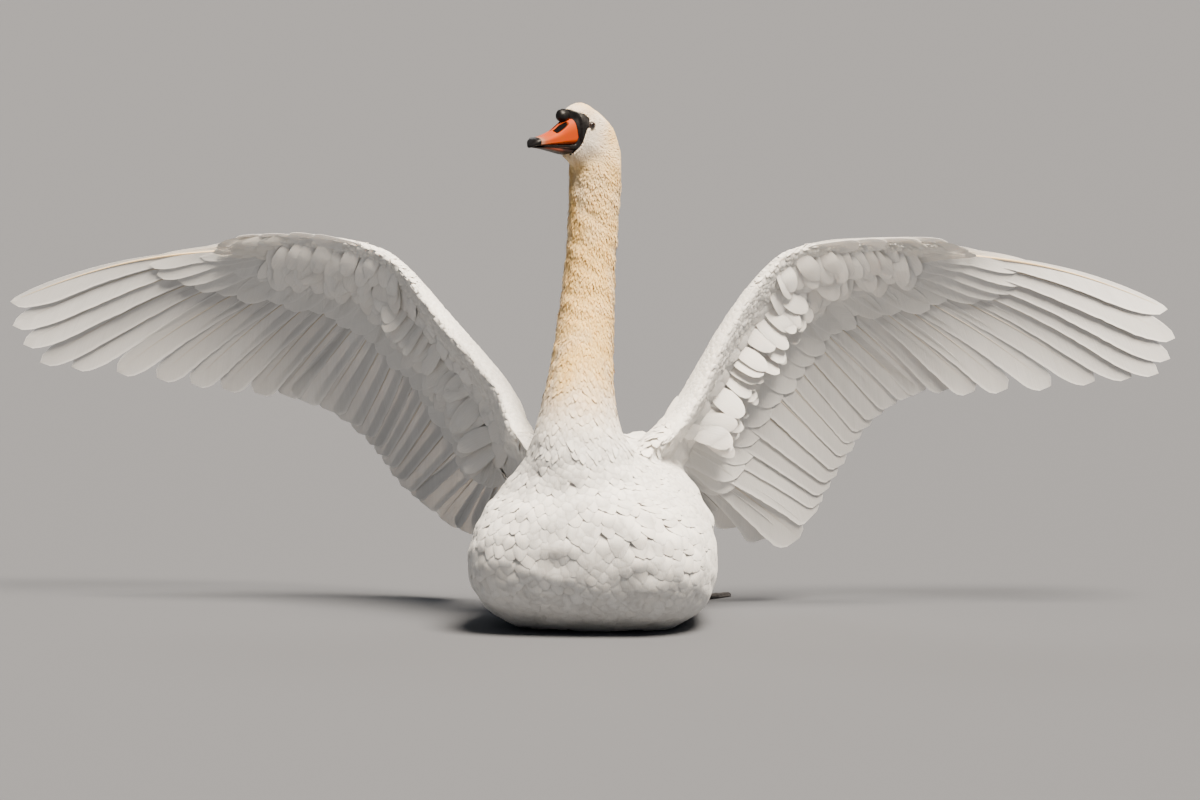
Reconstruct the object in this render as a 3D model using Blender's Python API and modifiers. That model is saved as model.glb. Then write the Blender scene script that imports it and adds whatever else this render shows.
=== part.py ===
"""Mute swan, life size, sitting on its belly with the wings raised and spread.

The bird faces -Y with its left side on +X. Its flat underside is the plane z = 0.
All lengths are in metres and all angles in degrees.
"""

import math

import bmesh
import bpy
import numpy as np

# ---- general ----
NAME = "mute_swan"
SIDES = (("left", 1.0), ("right", -1.0))
GAP = 0.0004
RING = 28
HEAD_RING = 16
BODY_VOXEL = 0.0055
BODY_SMOOTHING = 7
BODY_TRIANGLES = 2000
SEAT_GAP = 0.0006

# ---- trunk: y, belly level, back level, half width, level of the widest line (0 belly, 1 back) ----
TRUNK = (
    (0.462, 0.098, 0.138, 0.046, 0.50),
    (0.415, 0.058, 0.170, 0.076, 0.50),
    (0.330, 0.014, 0.212, 0.112, 0.47),
    (0.230, -0.012, 0.248, 0.142, 0.44),
    (0.120, -0.022, 0.277, 0.164, 0.42),
    (0.020, -0.020, 0.288, 0.181, 0.39),
    (-0.065, -0.012, 0.276, 0.186, 0.40),
    (-0.135, 0.012, 0.256, 0.178, 0.41),
    (-0.188, 0.048, 0.228, 0.150, 0.43),
    (-0.214, 0.088, 0.197, 0.096, 0.48),
)
TRUNK_END_BACK = (0.012, 0.474, 0.118)
TRUNK_END_FRONT = (0.012, -0.224, 0.144)
TRUNK_BACK_POWER = 1.85
TRUNK_BELLY_POWER = 2.6
TRUNK_X = 0.012

# ---- neck: centre x, y, z, half width, half depth ----
NECK = (
    (0.000, -0.070, 0.120, 0.150, 0.110),
    (0.000, -0.092, 0.200, 0.132, 0.108),
    (-0.002, -0.106, 0.262, 0.084, 0.092),
    (-0.004, -0.104, 0.305, 0.065, 0.078),
    (-0.003, -0.090, 0.362, 0.0515, 0.064),
    (0.000, -0.066, 0.428, 0.0445, 0.053),
    (0.003, -0.046, 0.492, 0.0410, 0.046),
    (0.007, -0.035, 0.564, 0.0378, 0.041),
    (0.011, -0.030, 0.640, 0.0390, 0.040),
    (0.013, -0.030, 0.700, 0.0400, 0.040),
    (0.013, -0.030, 0.738, 0.0300, 0.031),
)

# ---- head, in its own frame: forward, left and up from the axis of the neck ----
HEAD_AXIS = (0.013, -0.030)
HEAD_TURN = 40.0
SKULL = (
    (-0.032, 0.706, 0.735, 0.0170),
    (-0.020, 0.690, 0.754, 0.0290),
    (-0.004, 0.682, 0.771, 0.0345),
    (0.014, 0.680, 0.785, 0.0345),
    (0.032, 0.688, 0.7915, 0.0310),
    (0.047, 0.696, 0.789, 0.0260),
    (0.059, 0.705, 0.780, 0.0205),
    (0.069, 0.712, 0.768, 0.0150),
)
SKULL_POWER = 2.2
EYE = (0.033, 0.0262, 0.7570)
EYE_RADIUS = 0.0057
KNOB = (0.0665, 0.0, 0.7718)
KNOB_RADII = (0.0115, 0.0098, 0.0105)
UPPER_BILL = (
    (0.056, 0.7265, 0.7690, 0.0170),
    (0.070, 0.7276, 0.7630, 0.0165),
    (0.086, 0.7290, 0.7520, 0.0158),
    (0.100, 0.7298, 0.7462, 0.0155),
    (0.112, 0.7302, 0.7430, 0.0158),
    (0.1230, 0.7300, 0.7420, 0.0146),
)
NAIL = (
    (0.1234, 0.7298, 0.7424, 0.0142),
    (0.1290, 0.7290, 0.7405, 0.0115),
    (0.1335, 0.7284, 0.7368, 0.0072),
    (0.1358, 0.7290, 0.7335, 0.0030),
)
LOWER_BILL = (
    (0.056, 0.7150, 0.7256, 0.0150),
    (0.070, 0.7136, 0.7267, 0.0150),
    (0.088, 0.7180, 0.7282, 0.0143),
    (0.106, 0.7226, 0.7291, 0.0132),
    (0.120, 0.7256, 0.7293, 0.0108),
    (0.1280, 0.7268, 0.7284, 0.0050),
)
BILL_POWER = 2.6

# ---- cuts that part the flesh: a point and a direction each ----
CUT_HEAD = ((0.013, -0.030, 0.694), (0.10, -0.10, 1.0))
CUT_NECK = ((0.004, -0.045, 0.500), (0.0, 0.25, 1.0))
CUT_NECK_BASE = ((0.0, -0.085, 0.318), (0.0, 0.10, 1.0))
CUT_BREAST = ((0.0, -0.030, 0.15), (0.0, -1.0, 0.10))
CUT_RUMP = ((0.0, 0.275, 0.12), (0.0, -1.0, 0.25))

# ---- wings: lines through the named places from the body outwards ----
WING_LEFT = {
    "leading_edge": (
        (0.045, -0.085, 0.243),
        (0.082, -0.045, 0.286),
        (0.129, 0.030, 0.333),
        (0.180, 0.100, 0.446),
        (0.241, 0.145, 0.532),
        (0.300, 0.165, 0.567),
        (0.411, 0.185, 0.571),
        (0.523, 0.205, 0.566),
    ),
    "quill_line": (
        (0.060, 0.110, 0.150),
        (0.113, 0.140, 0.210),
        (0.154, 0.175, 0.301),
        (0.221, 0.200, 0.406),
        (0.268, 0.203, 0.464),
        (0.306, 0.204, 0.504),
        (0.402, 0.213, 0.533),
        (0.518, 0.225, 0.547),
    ),
    "tertial_tips": (
        (0.150, 0.262, 0.142),
        (0.190, 0.285, 0.116),
        (0.238, 0.298, 0.100),
        (0.285, 0.310, 0.098),
    ),
    "secondary_tips": (
        (0.312, 0.314, 0.140),
        (0.334, 0.315, 0.180),
        (0.360, 0.314, 0.222),
        (0.387, 0.311, 0.265),
        (0.430, 0.306, 0.305),
        (0.478, 0.302, 0.328),
    ),
    "primary_tips": (
        (0.516, 0.300, 0.331),
        (0.553, 0.301, 0.327),
        (0.602, 0.305, 0.330),
        (0.668, 0.310, 0.334),
        (0.734, 0.315, 0.341),
        (0.790, 0.320, 0.347),
        (0.830, 0.325, 0.352),
        (0.847, 0.330, 0.374),
        (0.854, 0.335, 0.405),
        (0.842, 0.340, 0.449),
    ),
}
WING_RIGHT = {
    "leading_edge": (
        (-0.035, -0.080, 0.275),
        (-0.084, -0.045, 0.304),
        (-0.120, 0.020, 0.361),
        (-0.220, 0.090, 0.456),
        (-0.288, 0.135, 0.529),
        (-0.350, 0.150, 0.563),
        (-0.462, 0.165, 0.573),
        (-0.568, 0.175, 0.562),
    ),
    "quill_line": (
        (-0.060, 0.110, 0.150),
        (-0.150, 0.140, 0.215),
        (-0.191, 0.170, 0.296),
        (-0.259, 0.188, 0.401),
        (-0.312, 0.190, 0.460),
        (-0.354, 0.188, 0.503),
        (-0.462, 0.190, 0.532),
        (-0.566, 0.194, 0.543),
    ),
    "tertial_tips": (
        (-0.188, 0.262, 0.138),
        (-0.208, 0.282, 0.117),
        (-0.236, 0.295, 0.106),
        (-0.268, 0.304, 0.122),
    ),
    "secondary_tips": (
        (-0.300, 0.304, 0.148),
        (-0.333, 0.303, 0.175),
        (-0.360, 0.301, 0.212),
        (-0.388, 0.297, 0.246),
        (-0.443, 0.287, 0.289),
        (-0.512, 0.276, 0.314),
    ),
    "primary_tips": (
        (-0.550, 0.270, 0.315),
        (-0.598, 0.264, 0.321),
        (-0.645, 0.258, 0.328),
        (-0.697, 0.250, 0.337),
        (-0.757, 0.240, 0.346),
        (-0.825, 0.230, 0.353),
        (-0.872, 0.220, 0.360),
        (-0.896, 0.210, 0.388),
        (-0.911, 0.205, 0.417),
        (-0.914, 0.200, 0.454),
    ),
}
ARM_STATIONS = 15
HAND_STATIONS = 8
WRIST = 5.0
WING_END = 7.0
TERTIAL_START = 0.95
TERTIAL_END = 1.45
TERTIAL_FADE = 4.0
SHOULDER_THICKNESS = 0.056
WRIST_THICKNESS = 0.027
HAND_THICKNESS = 0.012
ARM_TRAILING_THICKNESS = 0.0160
HAND_TRAILING_THICKNESS = 0.0130
WING_CAMBER = 0.07
LEADING_DROP = 0.55

TERTIALS = 4
SECONDARIES = 12
PRIMARIES = 10
QUILL_THICKNESS = 0.0032
VANE_THICKNESS = 0.0012
VANE_RIDGE = 0.0016
VANE_CAMBER = 0.055
PRIMARY_NOTCHES = (0.93, 0.93, 0.92, 0.91, 0.89, 0.86, 0.83, 0.80, 0.80)
SECONDARY_NOTCH = 0.955
TERTIAL_NOTCH = 0.955
UNDER_COVERT_OFFSET = 0.0070
UPPER_COVERT_OFFSET = 0.0068
COVERT_THICKNESS = 0.0022
UNDER_COVERT_REACH = 0.36
UPPER_COVERT_REACH = 0.42
COVERT_NOTCH = 0.86

# ---- alula, on the leading edge of the hand ----
ALULA_PLACE = 5.55
ALULA_BREADTH = 0.011
ALULA_THICKNESS = 0.005
ALULA_CLEARANCE = 0.0006
ALULA_DROP = 0.006

# ---- tail: a fan of quills ----
TAIL_FEATHERS = 8
TAIL_ROOT = (0.012, 0.4700, 0.116)
TAIL_ROOT_HALF_WIDTH = 0.038
TAIL_LENGTH = 0.150
TAIL_SIDE_LENGTH = 0.108
TAIL_SPREAD = 27.0
TAIL_FALL = 17.0
TAIL_NOTCH = 0.92
TAIL_ARCH = 0.006
TAIL_THICKNESS = 0.0060

# ---- legs, folded back under the rump ----
LEG_TOP = (0.062, 0.210, 0.030)
LEG_ANKLE = (0.112, 0.300, 0.018)
LEG_RADII = (0.011, 0.0075)
FOOT_START = (0.112, 0.304, 0.0)
TOE_LENGTHS = (0.100, 0.125, 0.115)
TOE_ANGLES = (-24.0, 2.0, 28.0)
TOE_HALF_ANGLE = 3.6
TOE_HEIGHT = 0.0125
WEB_REACH = 0.86
WEB_THICKNESS = 0.0030

# ---- scapulars: pads of shoulder feathers ----
SCAPULAR_PLACE = (0.068, 0.150, 0.236)
SCAPULAR_SLOPE = 17.0
SCAPULAR_LEAN = 42.0
SCAPULAR_RADII = (0.130, 0.043, 0.022)


def clear_scene():
    for item in list(bpy.data.objects):
        bpy.data.objects.remove(item, do_unlink=True)


def material(name, colour, roughness):
    made = bpy.data.materials.new(name)
    made.use_nodes = True
    shader = made.node_tree.nodes["Principled BSDF"]
    shader.inputs["Base Color"].default_value = (*colour, 1.0)
    shader.inputs["Roughness"].default_value = roughness
    return made


def mesh_object(name, points, faces, finish, collection):
    """A mesh object whose faces all point outwards."""
    mesh = bpy.data.meshes.new(name)
    mesh.from_pydata([tuple(map(float, p)) for p in points], [], faces)
    shape = bmesh.new()
    shape.from_mesh(mesh)
    bmesh.ops.remove_doubles(shape, verts=shape.verts, dist=1e-6)
    bmesh.ops.recalc_face_normals(shape, faces=shape.faces)
    if shape.calc_volume(signed=True) < 0:
        bmesh.ops.reverse_faces(shape, faces=shape.faces)
    shape.to_mesh(mesh)
    shape.free()
    mesh.materials.append(finish)
    made = bpy.data.objects.new(name, mesh)
    collection.objects.link(made)
    return made


def along(points, place):
    """A smooth curve through the points: place 0 is the first, 1 the second, and so on."""
    points = np.asarray(points, float)
    last = len(points) - 1
    place = min(max(place, 0.0), float(last))
    start = min(int(place), last - 1)
    t = place - start
    before = points[max(start - 1, 0)]
    first = points[start]
    second = points[start + 1]
    after = points[min(start + 2, last)]
    return 0.5 * (
        2 * first
        + (second - before) * t
        + (2 * before - 5 * first + 4 * second - after) * t**2
        + (3 * first - before - 3 * second + after) * t**3
    )


def unit(vector):
    return np.asarray(vector, float) / np.linalg.norm(vector)


def loft(name, rings, finish, collection, start=None, end=None):
    """A closed skin over rings of the same number of points, with rounded or flat ends."""
    rings = np.asarray(rings, float)
    count, around = rings.shape[:2]
    points = list(rings.reshape(-1, 3))
    points.append(rings[0].mean(axis=0) if start is None else np.asarray(start, float))
    points.append(rings[-1].mean(axis=0) if end is None else np.asarray(end, float))
    faces = []
    for i in range(count - 1):
        for j in range(around):
            k = (j + 1) % around
            faces.append((i * around + j, i * around + k, (i + 1) * around + k, (i + 1) * around + j))
    for j in range(around):
        k = (j + 1) % around
        faces.append((count * around, j, k))
        faces.append((count * around + 1, (count - 1) * around + k, (count - 1) * around + j))
    return mesh_object(name, points, faces, finish, collection)


def egg_ring(centre, side, up, half_width, low, high, power, around=RING, belly_power=None):
    """A ring whose widest line is at the centre, low below it and high above it."""
    ring = []
    for step in range(around):
        angle = 2 * math.pi * (step + 0.5) / around
        across = math.cos(angle)
        rise = math.sin(angle)
        square = power if rise > 0 or belly_power is None else belly_power
        across = math.copysign(abs(across) ** (2 / square), across)
        rise = math.copysign(abs(rise) ** (2 / square), rise)
        height = high if rise > 0 else low
        ring.append(centre + side * across * half_width + up * rise * height)
    return ring


def smooth_table(table, steps):
    """Rows of the table with smooth rows put between them."""
    places = np.linspace(0, len(table) - 1, (len(table) - 1) * steps + 1)
    return [along(table, place) for place in places]


# ---- flesh ----
def trunk_form(finish, collection):
    rings = []
    for y, low, high, half_width, level in smooth_table(TRUNK, 3):
        widest = low + (high - low) * level
        centre = np.array((TRUNK_X, y, widest))
        rings.append(
            egg_ring(
                centre,
                np.array((1.0, 0.0, 0.0)),
                np.array((0.0, 0.0, 1.0)),
                half_width,
                widest - low,
                high - widest,
                TRUNK_BACK_POWER,
                belly_power=TRUNK_BELLY_POWER,
            )
        )
    return loft("trunk_form", rings, finish, collection, TRUNK_END_BACK, TRUNK_END_FRONT)


def neck_form(finish, collection):
    rows = smooth_table(NECK, 3)
    centres = np.array([row[:3] for row in rows])
    rings = []
    for i, row in enumerate(rows):
        tangent = unit(centres[min(i + 1, len(rows) - 1)] - centres[max(i - 1, 0)])
        side = unit(np.cross((0.0, -1.0, 0.0), tangent))
        depth = unit(np.cross(tangent, side))
        rings.append(egg_ring(centres[i], side, depth, row[3], row[4], row[4], 2.0))
    return loft("neck_form", rings, finish, collection)


def head_frame():
    turn = math.radians(HEAD_TURN)
    forward = np.array((-math.sin(turn), -math.cos(turn), 0.0))
    left = np.array((math.cos(turn), -math.sin(turn), 0.0))
    return forward, left


def head_point(forward_by, left_by, height):
    forward, left = head_frame()
    return np.array((*HEAD_AXIS, 0.0)) + forward * forward_by + left * left_by + np.array((0.0, 0.0, height))


def head_loft(name, table, power, steps, finish, collection, bulge=0.0):
    """A loft along the head's own forward direction."""
    left = head_frame()[1]
    rows = smooth_table(table, steps)
    rings = []
    for forward_by, low, high, half_width in rows:
        middle = (low + high) / 2
        half = (high - low) / 2
        rings.append(
            egg_ring(
                head_point(forward_by, 0.0, middle),
                left,
                np.array((0.0, 0.0, 1.0)),
                half_width,
                half,
                half,
                power,
                HEAD_RING,
            )
        )
    start = head_point(rows[0][0] - bulge, 0.0, (rows[0][1] + rows[0][2]) / 2)
    end = head_point(rows[-1][0] + bulge, 0.0, (rows[-1][1] + rows[-1][2]) / 2)
    return loft(name, rings, finish, collection, start, end)


def keep_largest(target):
    """Drops the loose chips that a cut leaves beside the piece itself."""
    shape = bmesh.new()
    shape.from_mesh(target.data)
    shape.verts.ensure_lookup_table()
    left = set(shape.verts)
    islands = []
    while left:
        island = set()
        edge_of_search = [left.pop()]
        while edge_of_search:
            vert = edge_of_search.pop()
            island.add(vert)
            for edge in vert.link_edges:
                other = edge.other_vert(vert)
                if other in left:
                    left.discard(other)
                    edge_of_search.append(other)
        islands.append(island)
    islands.sort(key=len)
    for island in islands[:-1]:
        bmesh.ops.delete(shape, geom=list(island), context="VERTS")
    shape.to_mesh(target.data)
    shape.free()


def cut_away(target, cutters):
    """Takes the cutters from the target and keeps one piece of it."""
    for cutter in cutters:
        boolean(target, cutter, "DIFFERENCE")
    keep_largest(target)


def boolean(target, other, operation):
    cut = target.modifiers.new("bool", "BOOLEAN")
    cut.operation = operation
    cut.solver = "EXACT"
    cut.object = other
    apply_modifiers(target)


def apply_modifiers(target):
    bpy.context.view_layer.update()
    graph = bpy.context.evaluated_depsgraph_get()
    made = bpy.data.meshes.new_from_object(target.evaluated_get(graph))
    target.modifiers.clear()
    target.data = made


def flesh_form(finish, helpers):
    """Trunk, neck and head grown together as one smooth form with a flat underside."""
    form = trunk_form(finish, helpers)
    boolean(form, neck_form(finish, helpers), "UNION")
    skull = head_loft("skull_form", SKULL, SKULL_POWER, 2, finish, helpers, bulge=0.004)
    boolean(form, skull, "UNION")
    even = form.modifiers.new("even", "REMESH")
    even.mode = "VOXEL"
    even.voxel_size = BODY_VOXEL
    soft = form.modifiers.new("soft", "SMOOTH")
    soft.factor = 0.5
    soft.iterations = BODY_SMOOTHING
    apply_modifiers(form)
    thin = form.modifiers.new("thin", "DECIMATE")
    thin.ratio = BODY_TRIANGLES / (2 * len(form.data.polygons))
    apply_modifiers(form)
    return form


def half_space(form, point, direction, side):
    """The part of the form on one side of a plane, closed with a flat face."""
    direction = unit(direction) * side
    point = np.asarray(point, float) + direction * GAP / 2
    bmesh.ops.bisect_plane(
        form,
        geom=list(form.verts) + list(form.edges) + list(form.faces),
        dist=1e-6,
        plane_co=point,
        plane_no=-direction,
        clear_outer=True,
    )
    rim = [edge for edge in form.edges if edge.is_boundary]
    bmesh.ops.triangle_fill(form, use_beauty=True, use_dissolve=False, edges=rim, normal=-direction)


def flesh_piece(name, form, cuts, finish, collection):
    """One named part of the flesh: the form between its cuts, flat where it rests."""
    shape = bmesh.new()
    shape.from_mesh(form.data)
    for point, direction, side in cuts:
        half_space(shape, point, direction, side)
    bmesh.ops.recalc_face_normals(shape, faces=shape.faces)
    mesh = bpy.data.meshes.new(name)
    shape.to_mesh(mesh)
    shape.free()
    mesh.materials.append(finish)
    made = bpy.data.objects.new(name, mesh)
    collection.objects.link(made)
    return made


def swollen(source, name, by, helpers):
    """A copy pushed out along its normals, as a cutter that leaves a gap."""
    made = source.copy()
    made.data = source.data.copy()
    made.name = name
    helpers.objects.link(made)
    push = made.modifiers.new("push", "DISPLACE")
    push.strength = by
    push.mid_level = 0.0
    apply_modifiers(made)
    return made


def ellipsoid(name, centre, radii, axes, finish, collection, rings=8, around=16):
    """A closed ellipsoid about a centre, with its radii along three axes."""
    rows = []
    for i in range(1, rings):
        polar = math.pi * i / rings
        row = []
        for j in range(around):
            turn = 2 * math.pi * j / around
            row.append(
                centre
                + axes[0] * radii[0] * math.cos(polar)
                + axes[1] * radii[1] * math.sin(polar) * math.cos(turn)
                + axes[2] * radii[2] * math.sin(polar) * math.sin(turn)
            )
        rows.append(row)
    start = centre + axes[0] * radii[0]
    end = centre - axes[0] * radii[0]
    return loft(name, rows, finish, collection, start, end)


# ---- wings ----
def wing_section(wing, place):
    """Leading point, quill point, chord direction and upper-side direction at a place along the wing."""
    lead = along(wing["leading_edge"], place)
    quill = along(wing["quill_line"], place)
    ahead = along(wing["leading_edge"], min(place + 0.15, WING_END))
    behind = along(wing["leading_edge"], max(place - 0.15, 0.0))
    span = unit(ahead - behind)
    chord = unit(quill - lead)
    upper = unit(np.cross(chord, span))
    side = 1.0 if lead[0] > 0 else -1.0
    return lead, quill, chord, -upper * side


def arm_thickness(place):
    if place < WRIST:
        share = place / WRIST
        return SHOULDER_THICKNESS + (WRIST_THICKNESS - SHOULDER_THICKNESS) * share
    share = (place - WRIST) / (WING_END - WRIST)
    return WRIST_THICKNESS + (HAND_THICKNESS - WRIST_THICKNESS) * share


def trailing_thickness(place):
    share = min(max((place - 1.0) / (WING_END - 1.0), 0.0), 1.0)
    return ARM_TRAILING_THICKNESS + (HAND_TRAILING_THICKNESS - ARM_TRAILING_THICKNESS) * share


PROFILE = ((0.0, 0.0), (0.03, 0.46), (0.12, 0.82), (0.30, 1.0), (0.55, 0.86), (0.80, 0.55), (1.0, 0.0))


def wing_ring(wing, place):
    """A section of the fleshy part of the wing with its covert feathers, blunt behind."""
    lead, quill, chord, upper = wing_section(wing, place)
    length = np.linalg.norm(quill - lead)
    thick = min(arm_thickness(place), 0.75 * length)
    blunt = trailing_thickness(place)
    over = []
    under = []
    for share, fullness in PROFILE:
        middle = lead + chord * length * share
        middle = middle + upper * WING_CAMBER * length * math.sin(math.pi * share)
        middle = middle - upper * LEADING_DROP * thick * (1 - share) ** 1.5
        half_over = 0.5 * blunt * share + 0.60 * (thick - 0.4 * blunt) * fullness
        half_under = 0.5 * blunt * share + 0.40 * (thick - 0.4 * blunt) * fullness
        over.append(middle + upper * half_over)
        under.append(middle - upper * half_under)
    return over + under[:0:-1]


def wing_limb(name, wing, first, last, stations, finish, collection):
    rings = [wing_ring(wing, place) for place in np.linspace(first, last, stations)]
    return loft(name, rings, finish, collection)


# How far out each row of a rounded tip is, from where the quills part, and its breadth.
LONG_TIP = ((0.45, 0.93), (0.78, 0.66))
SHORT_TIP = ((0.60, 0.82),)
PRIMARY_ROWS = 3
SECONDARY_ROWS = 2


def edge_aims_of(tips):
    """Where the edges between quills aim: half way between the tips."""
    aims = [tips[0] + (tips[0] - tips[1]) * 0.5]
    aims += [(tips[i] + tips[i + 1]) / 2 for i in range(len(tips) - 1)]
    aims.append(tips[-1] + (tips[-1] - tips[-2]) * 0.35)
    return aims


def quill_sheet(
    name,
    fan,
    notches,
    lift,
    finish,
    collection,
    thick,
    fine,
    camber,
    reach=1.0,
    rows=SECONDARY_ROWS,
    tip_rows=SHORT_TIP,
):
    """A closed fan of overlapping quills: joined near the roots, apart and rounded at the tips.

    The fan holds the roots, upper-side directions and aims of the edges between quills,
    and the tips of the quills. notches says how far out each edge stays joined, and
    reach how much of the way to the tips the sheet covers.
    """
    roots, uppers, tip_uppers, edge_aims, tips = fan
    count = len(tips)
    points = []
    faces = []

    def facing(line, share):
        """The upper side of the sheet, which turns from the roots to the tips."""
        return unit(line[2] + (line[3] - line[2]) * share)

    def surface(line, share, ridge):
        near, aim = line[:2]
        bow = camber * np.linalg.norm(aim - near) * math.sin(math.pi * share * reach * 0.9)
        return near + (aim - near) * share * reach + facing(line, share) * (bow + lift + ridge)

    def pair(middle, upper, share):
        half = 0.5 * (thick + (fine - thick) * share)
        points.append(middle + upper * half)
        points.append(middle - upper * half)
        return len(points) - 2

    edges = []
    for i in range(count + 1):
        line = (roots[i], edge_aims[i], uppers[i], tip_uppers[i])
        column = []
        for row in range(rows + 1):
            share = notches[i] * row / rows
            column.append(pair(surface(line, share, 0.0), facing(line, share), share))
        edges.append(column)
    for i in range(count):
        upper = unit(tip_uppers[i] + tip_uppers[i + 1])
        line = ((roots[i] + roots[i + 1]) / 2, tips[i], unit(uppers[i] + uppers[i + 1]), upper)
        shoulder = (notches[i] + notches[i + 1]) / 2
        middle = []
        for row in range(rows + 1):
            share = shoulder * row / rows
            ridge = VANE_RIDGE * min(row, 1)
            middle.append(pair(surface(line, share, ridge), facing(line, share), share))
        first = list(edges[i])
        second = list(edges[i + 1])
        ends = (points[first[-1]], points[middle[-1]], points[second[-1]])
        for out, breadth in tip_rows:
            share = shoulder + (1 - shoulder) * out
            centre = pair(surface(line, share, VANE_RIDGE), upper, share)
            advance = points[centre] - ends[1]
            first.append(pair((ends[0] + advance) * breadth + points[centre] * (1 - breadth), upper, share))
            second.append(pair((ends[2] + advance) * breadth + points[centre] * (1 - breadth), upper, share))
            middle.append(centre)
        tip = pair(surface(line, 1.0, VANE_RIDGE), upper, 1.0)
        last = len(middle) - 1
        for a, b in ((first, middle), (middle, second)):
            for row in range(last):
                faces.append((a[row], b[row], b[row + 1], a[row + 1]))
                faces.append((a[row] + 1, a[row + 1] + 1, b[row + 1] + 1, b[row] + 1))
            faces.append((a[0], a[0] + 1, b[0] + 1, b[0]))
            faces.append((a[last], b[last], tip))
            faces.append((a[last] + 1, tip + 1, b[last] + 1))
        faces.append((first[last], tip, tip + 1, first[last] + 1))
        faces.append((tip, second[last], second[last] + 1, tip + 1))
        open_first = 0 if i == 0 else rows
        open_second = 0 if i == count - 1 else rows
        for row in range(open_first, last):
            faces.append((first[row], first[row + 1], first[row + 1] + 1, first[row] + 1))
        for row in range(open_second, last):
            faces.append((second[row], second[row] + 1, second[row + 1] + 1, second[row + 1]))
    return mesh_object(name, points, faces, finish, collection)


def quill_root(wing, place):
    """A point just behind the blunt back of the limb, the upper-side direction and the outward one."""
    lead, quill, chord, upper = wing_section(wing, place)
    further = along(wing["quill_line"], min(place + 0.1, WING_END))
    nearer = along(wing["quill_line"], max(place - 0.1, 0.0))
    return quill + chord * 2 * GAP, upper, unit(further - nearer)


def tip_uppers_of(roots, uppers, aims, side):
    """The upper side at the tips: the wing's own, but for the tertials, whose tips fan out more."""
    found = []
    for i, upper in enumerate(uppers):
        across = aims[min(i + 1, TERTIALS)] - aims[max(min(i, TERTIALS) - 1, 0)]
        fanned = unit(np.cross(across, aims[i] - roots[i])) * side
        share = min(max((i - TERTIALS) / TERTIAL_FADE, 0.0), 1.0)
        found.append(unit(fanned + (upper - fanned) * share))
    return found


def wing_fan(wing, places, tips, side):
    """Roots, upper-side directions and aims of the edges between quills, with the tips."""
    found = [quill_root(wing, place) for place in places]
    roots = [row[0] for row in found]
    uppers = [row[1] for row in found]
    aims = edge_aims_of(tips)
    tip_uppers = tip_uppers_of(roots, uppers, aims, side)
    return roots, uppers, tip_uppers, aims, tips, [row[2] for row in found]


def part_of_fan(fan, first, last):
    """The quills from first to last, drawn in a little at both sides from their neighbours."""
    roots, uppers, tip_uppers, aims, tips, outwards = fan
    roots = [root.copy() for root in roots[first : last + 1]]
    aims = [aim.copy() for aim in aims[first : last + 1]]
    for row, sign in ((0, 1.0), (-1, -1.0)):
        inward = outwards[first if row == 0 else last] * GAP * sign
        roots[row] = roots[row] + inward
        aims[row] = aims[row] + inward
    return roots, uppers[first : last + 1], tip_uppers[first : last + 1], aims, tips[first:last]


def spread_tips(table, count):
    return [along(table, place) for place in np.linspace(0, len(table) - 1, count)]


def flight_feathers(side, sign, wing, finish, collection):
    """Tertials, secondaries and primaries, each group one fan."""
    groups = (
        ("tertials", TERTIAL_START, TERTIAL_END, TERTIALS, "tertial_tips"),
        ("secondaries", TERTIAL_END, WRIST, SECONDARIES, "secondary_tips"),
        ("primaries", WRIST, WING_END - 0.05, PRIMARIES, "primary_tips"),
    )
    places = [TERTIAL_START]
    tips = []
    for name, first, last, count, key in groups:
        places += list(np.linspace(first, last, count + 1)[1:])
        tips += spread_tips(wing[key], count)
    notches = [TERTIAL_NOTCH] * TERTIALS + [SECONDARY_NOTCH] * (SECONDARIES + 1)
    notches += [*PRIMARY_NOTCHES, PRIMARY_NOTCHES[-1]]
    fan = wing_fan(wing, places, tips, sign)
    start = 0
    made = []
    for name, first, last, count, key in groups:
        made.append(
            quill_sheet(
                f"{name}_{side}",
                part_of_fan(fan, start, start + count),
                notches[start : start + count + 1],
                0.0,
                finish,
                collection,
                QUILL_THICKNESS,
                VANE_THICKNESS,
                VANE_CAMBER,
                1.0,
                PRIMARY_ROWS if name == "primaries" else SECONDARY_ROWS,
                LONG_TIP if name == "primaries" else SHORT_TIP,
            )
        )
        start += count
    return fan, made


def greater_coverts(side, fan, finish, collection):
    """The long coverts that lie over the quills, below and above the wing: one for two quills."""
    roots, uppers, tip_uppers, aims, tips, outwards = fan
    sides = (
        ("under_coverts", 0, -UNDER_COVERT_OFFSET, UNDER_COVERT_REACH),
        ("upper_coverts", 2, UPPER_COVERT_OFFSET, UPPER_COVERT_REACH),
    )
    made = []
    for name, first, lift, reach in sides:
        paired = [row[first::2] for row in (roots, uppers, tip_uppers, aims)] + [aims[first + 1 :: 2]]
        made.append(
            quill_sheet(
                f"{name}_{side}",
                paired,
                [COVERT_NOTCH] * len(paired[0]),
                lift,
                finish,
                collection,
                COVERT_THICKNESS,
                VANE_THICKNESS,
                VANE_CAMBER,
                reach,
            )
        )
    return made


def alula(side, wing, finish, collection):
    """The thumb's short stiff feathers, ahead of the leading edge of the hand."""
    rings = []
    for share in np.linspace(0.04, 0.97, 7):
        place = ALULA_PLACE + (WING_END - ALULA_PLACE) * share
        lead, quill, chord, upper = wing_section(wing, place)
        breadth = 0.5 * ALULA_BREADTH * math.sin(math.pi * min(share + 0.12, 1.0)) + 0.0015
        centre = lead - chord * (breadth + ALULA_CLEARANCE) - upper * ALULA_DROP
        rings.append(
            egg_ring(centre, chord, upper, breadth, ALULA_THICKNESS / 2, ALULA_THICKNESS / 2, 2.0, 10)
        )
    loft(f"alula_{side}", rings, finish, collection)


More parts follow.
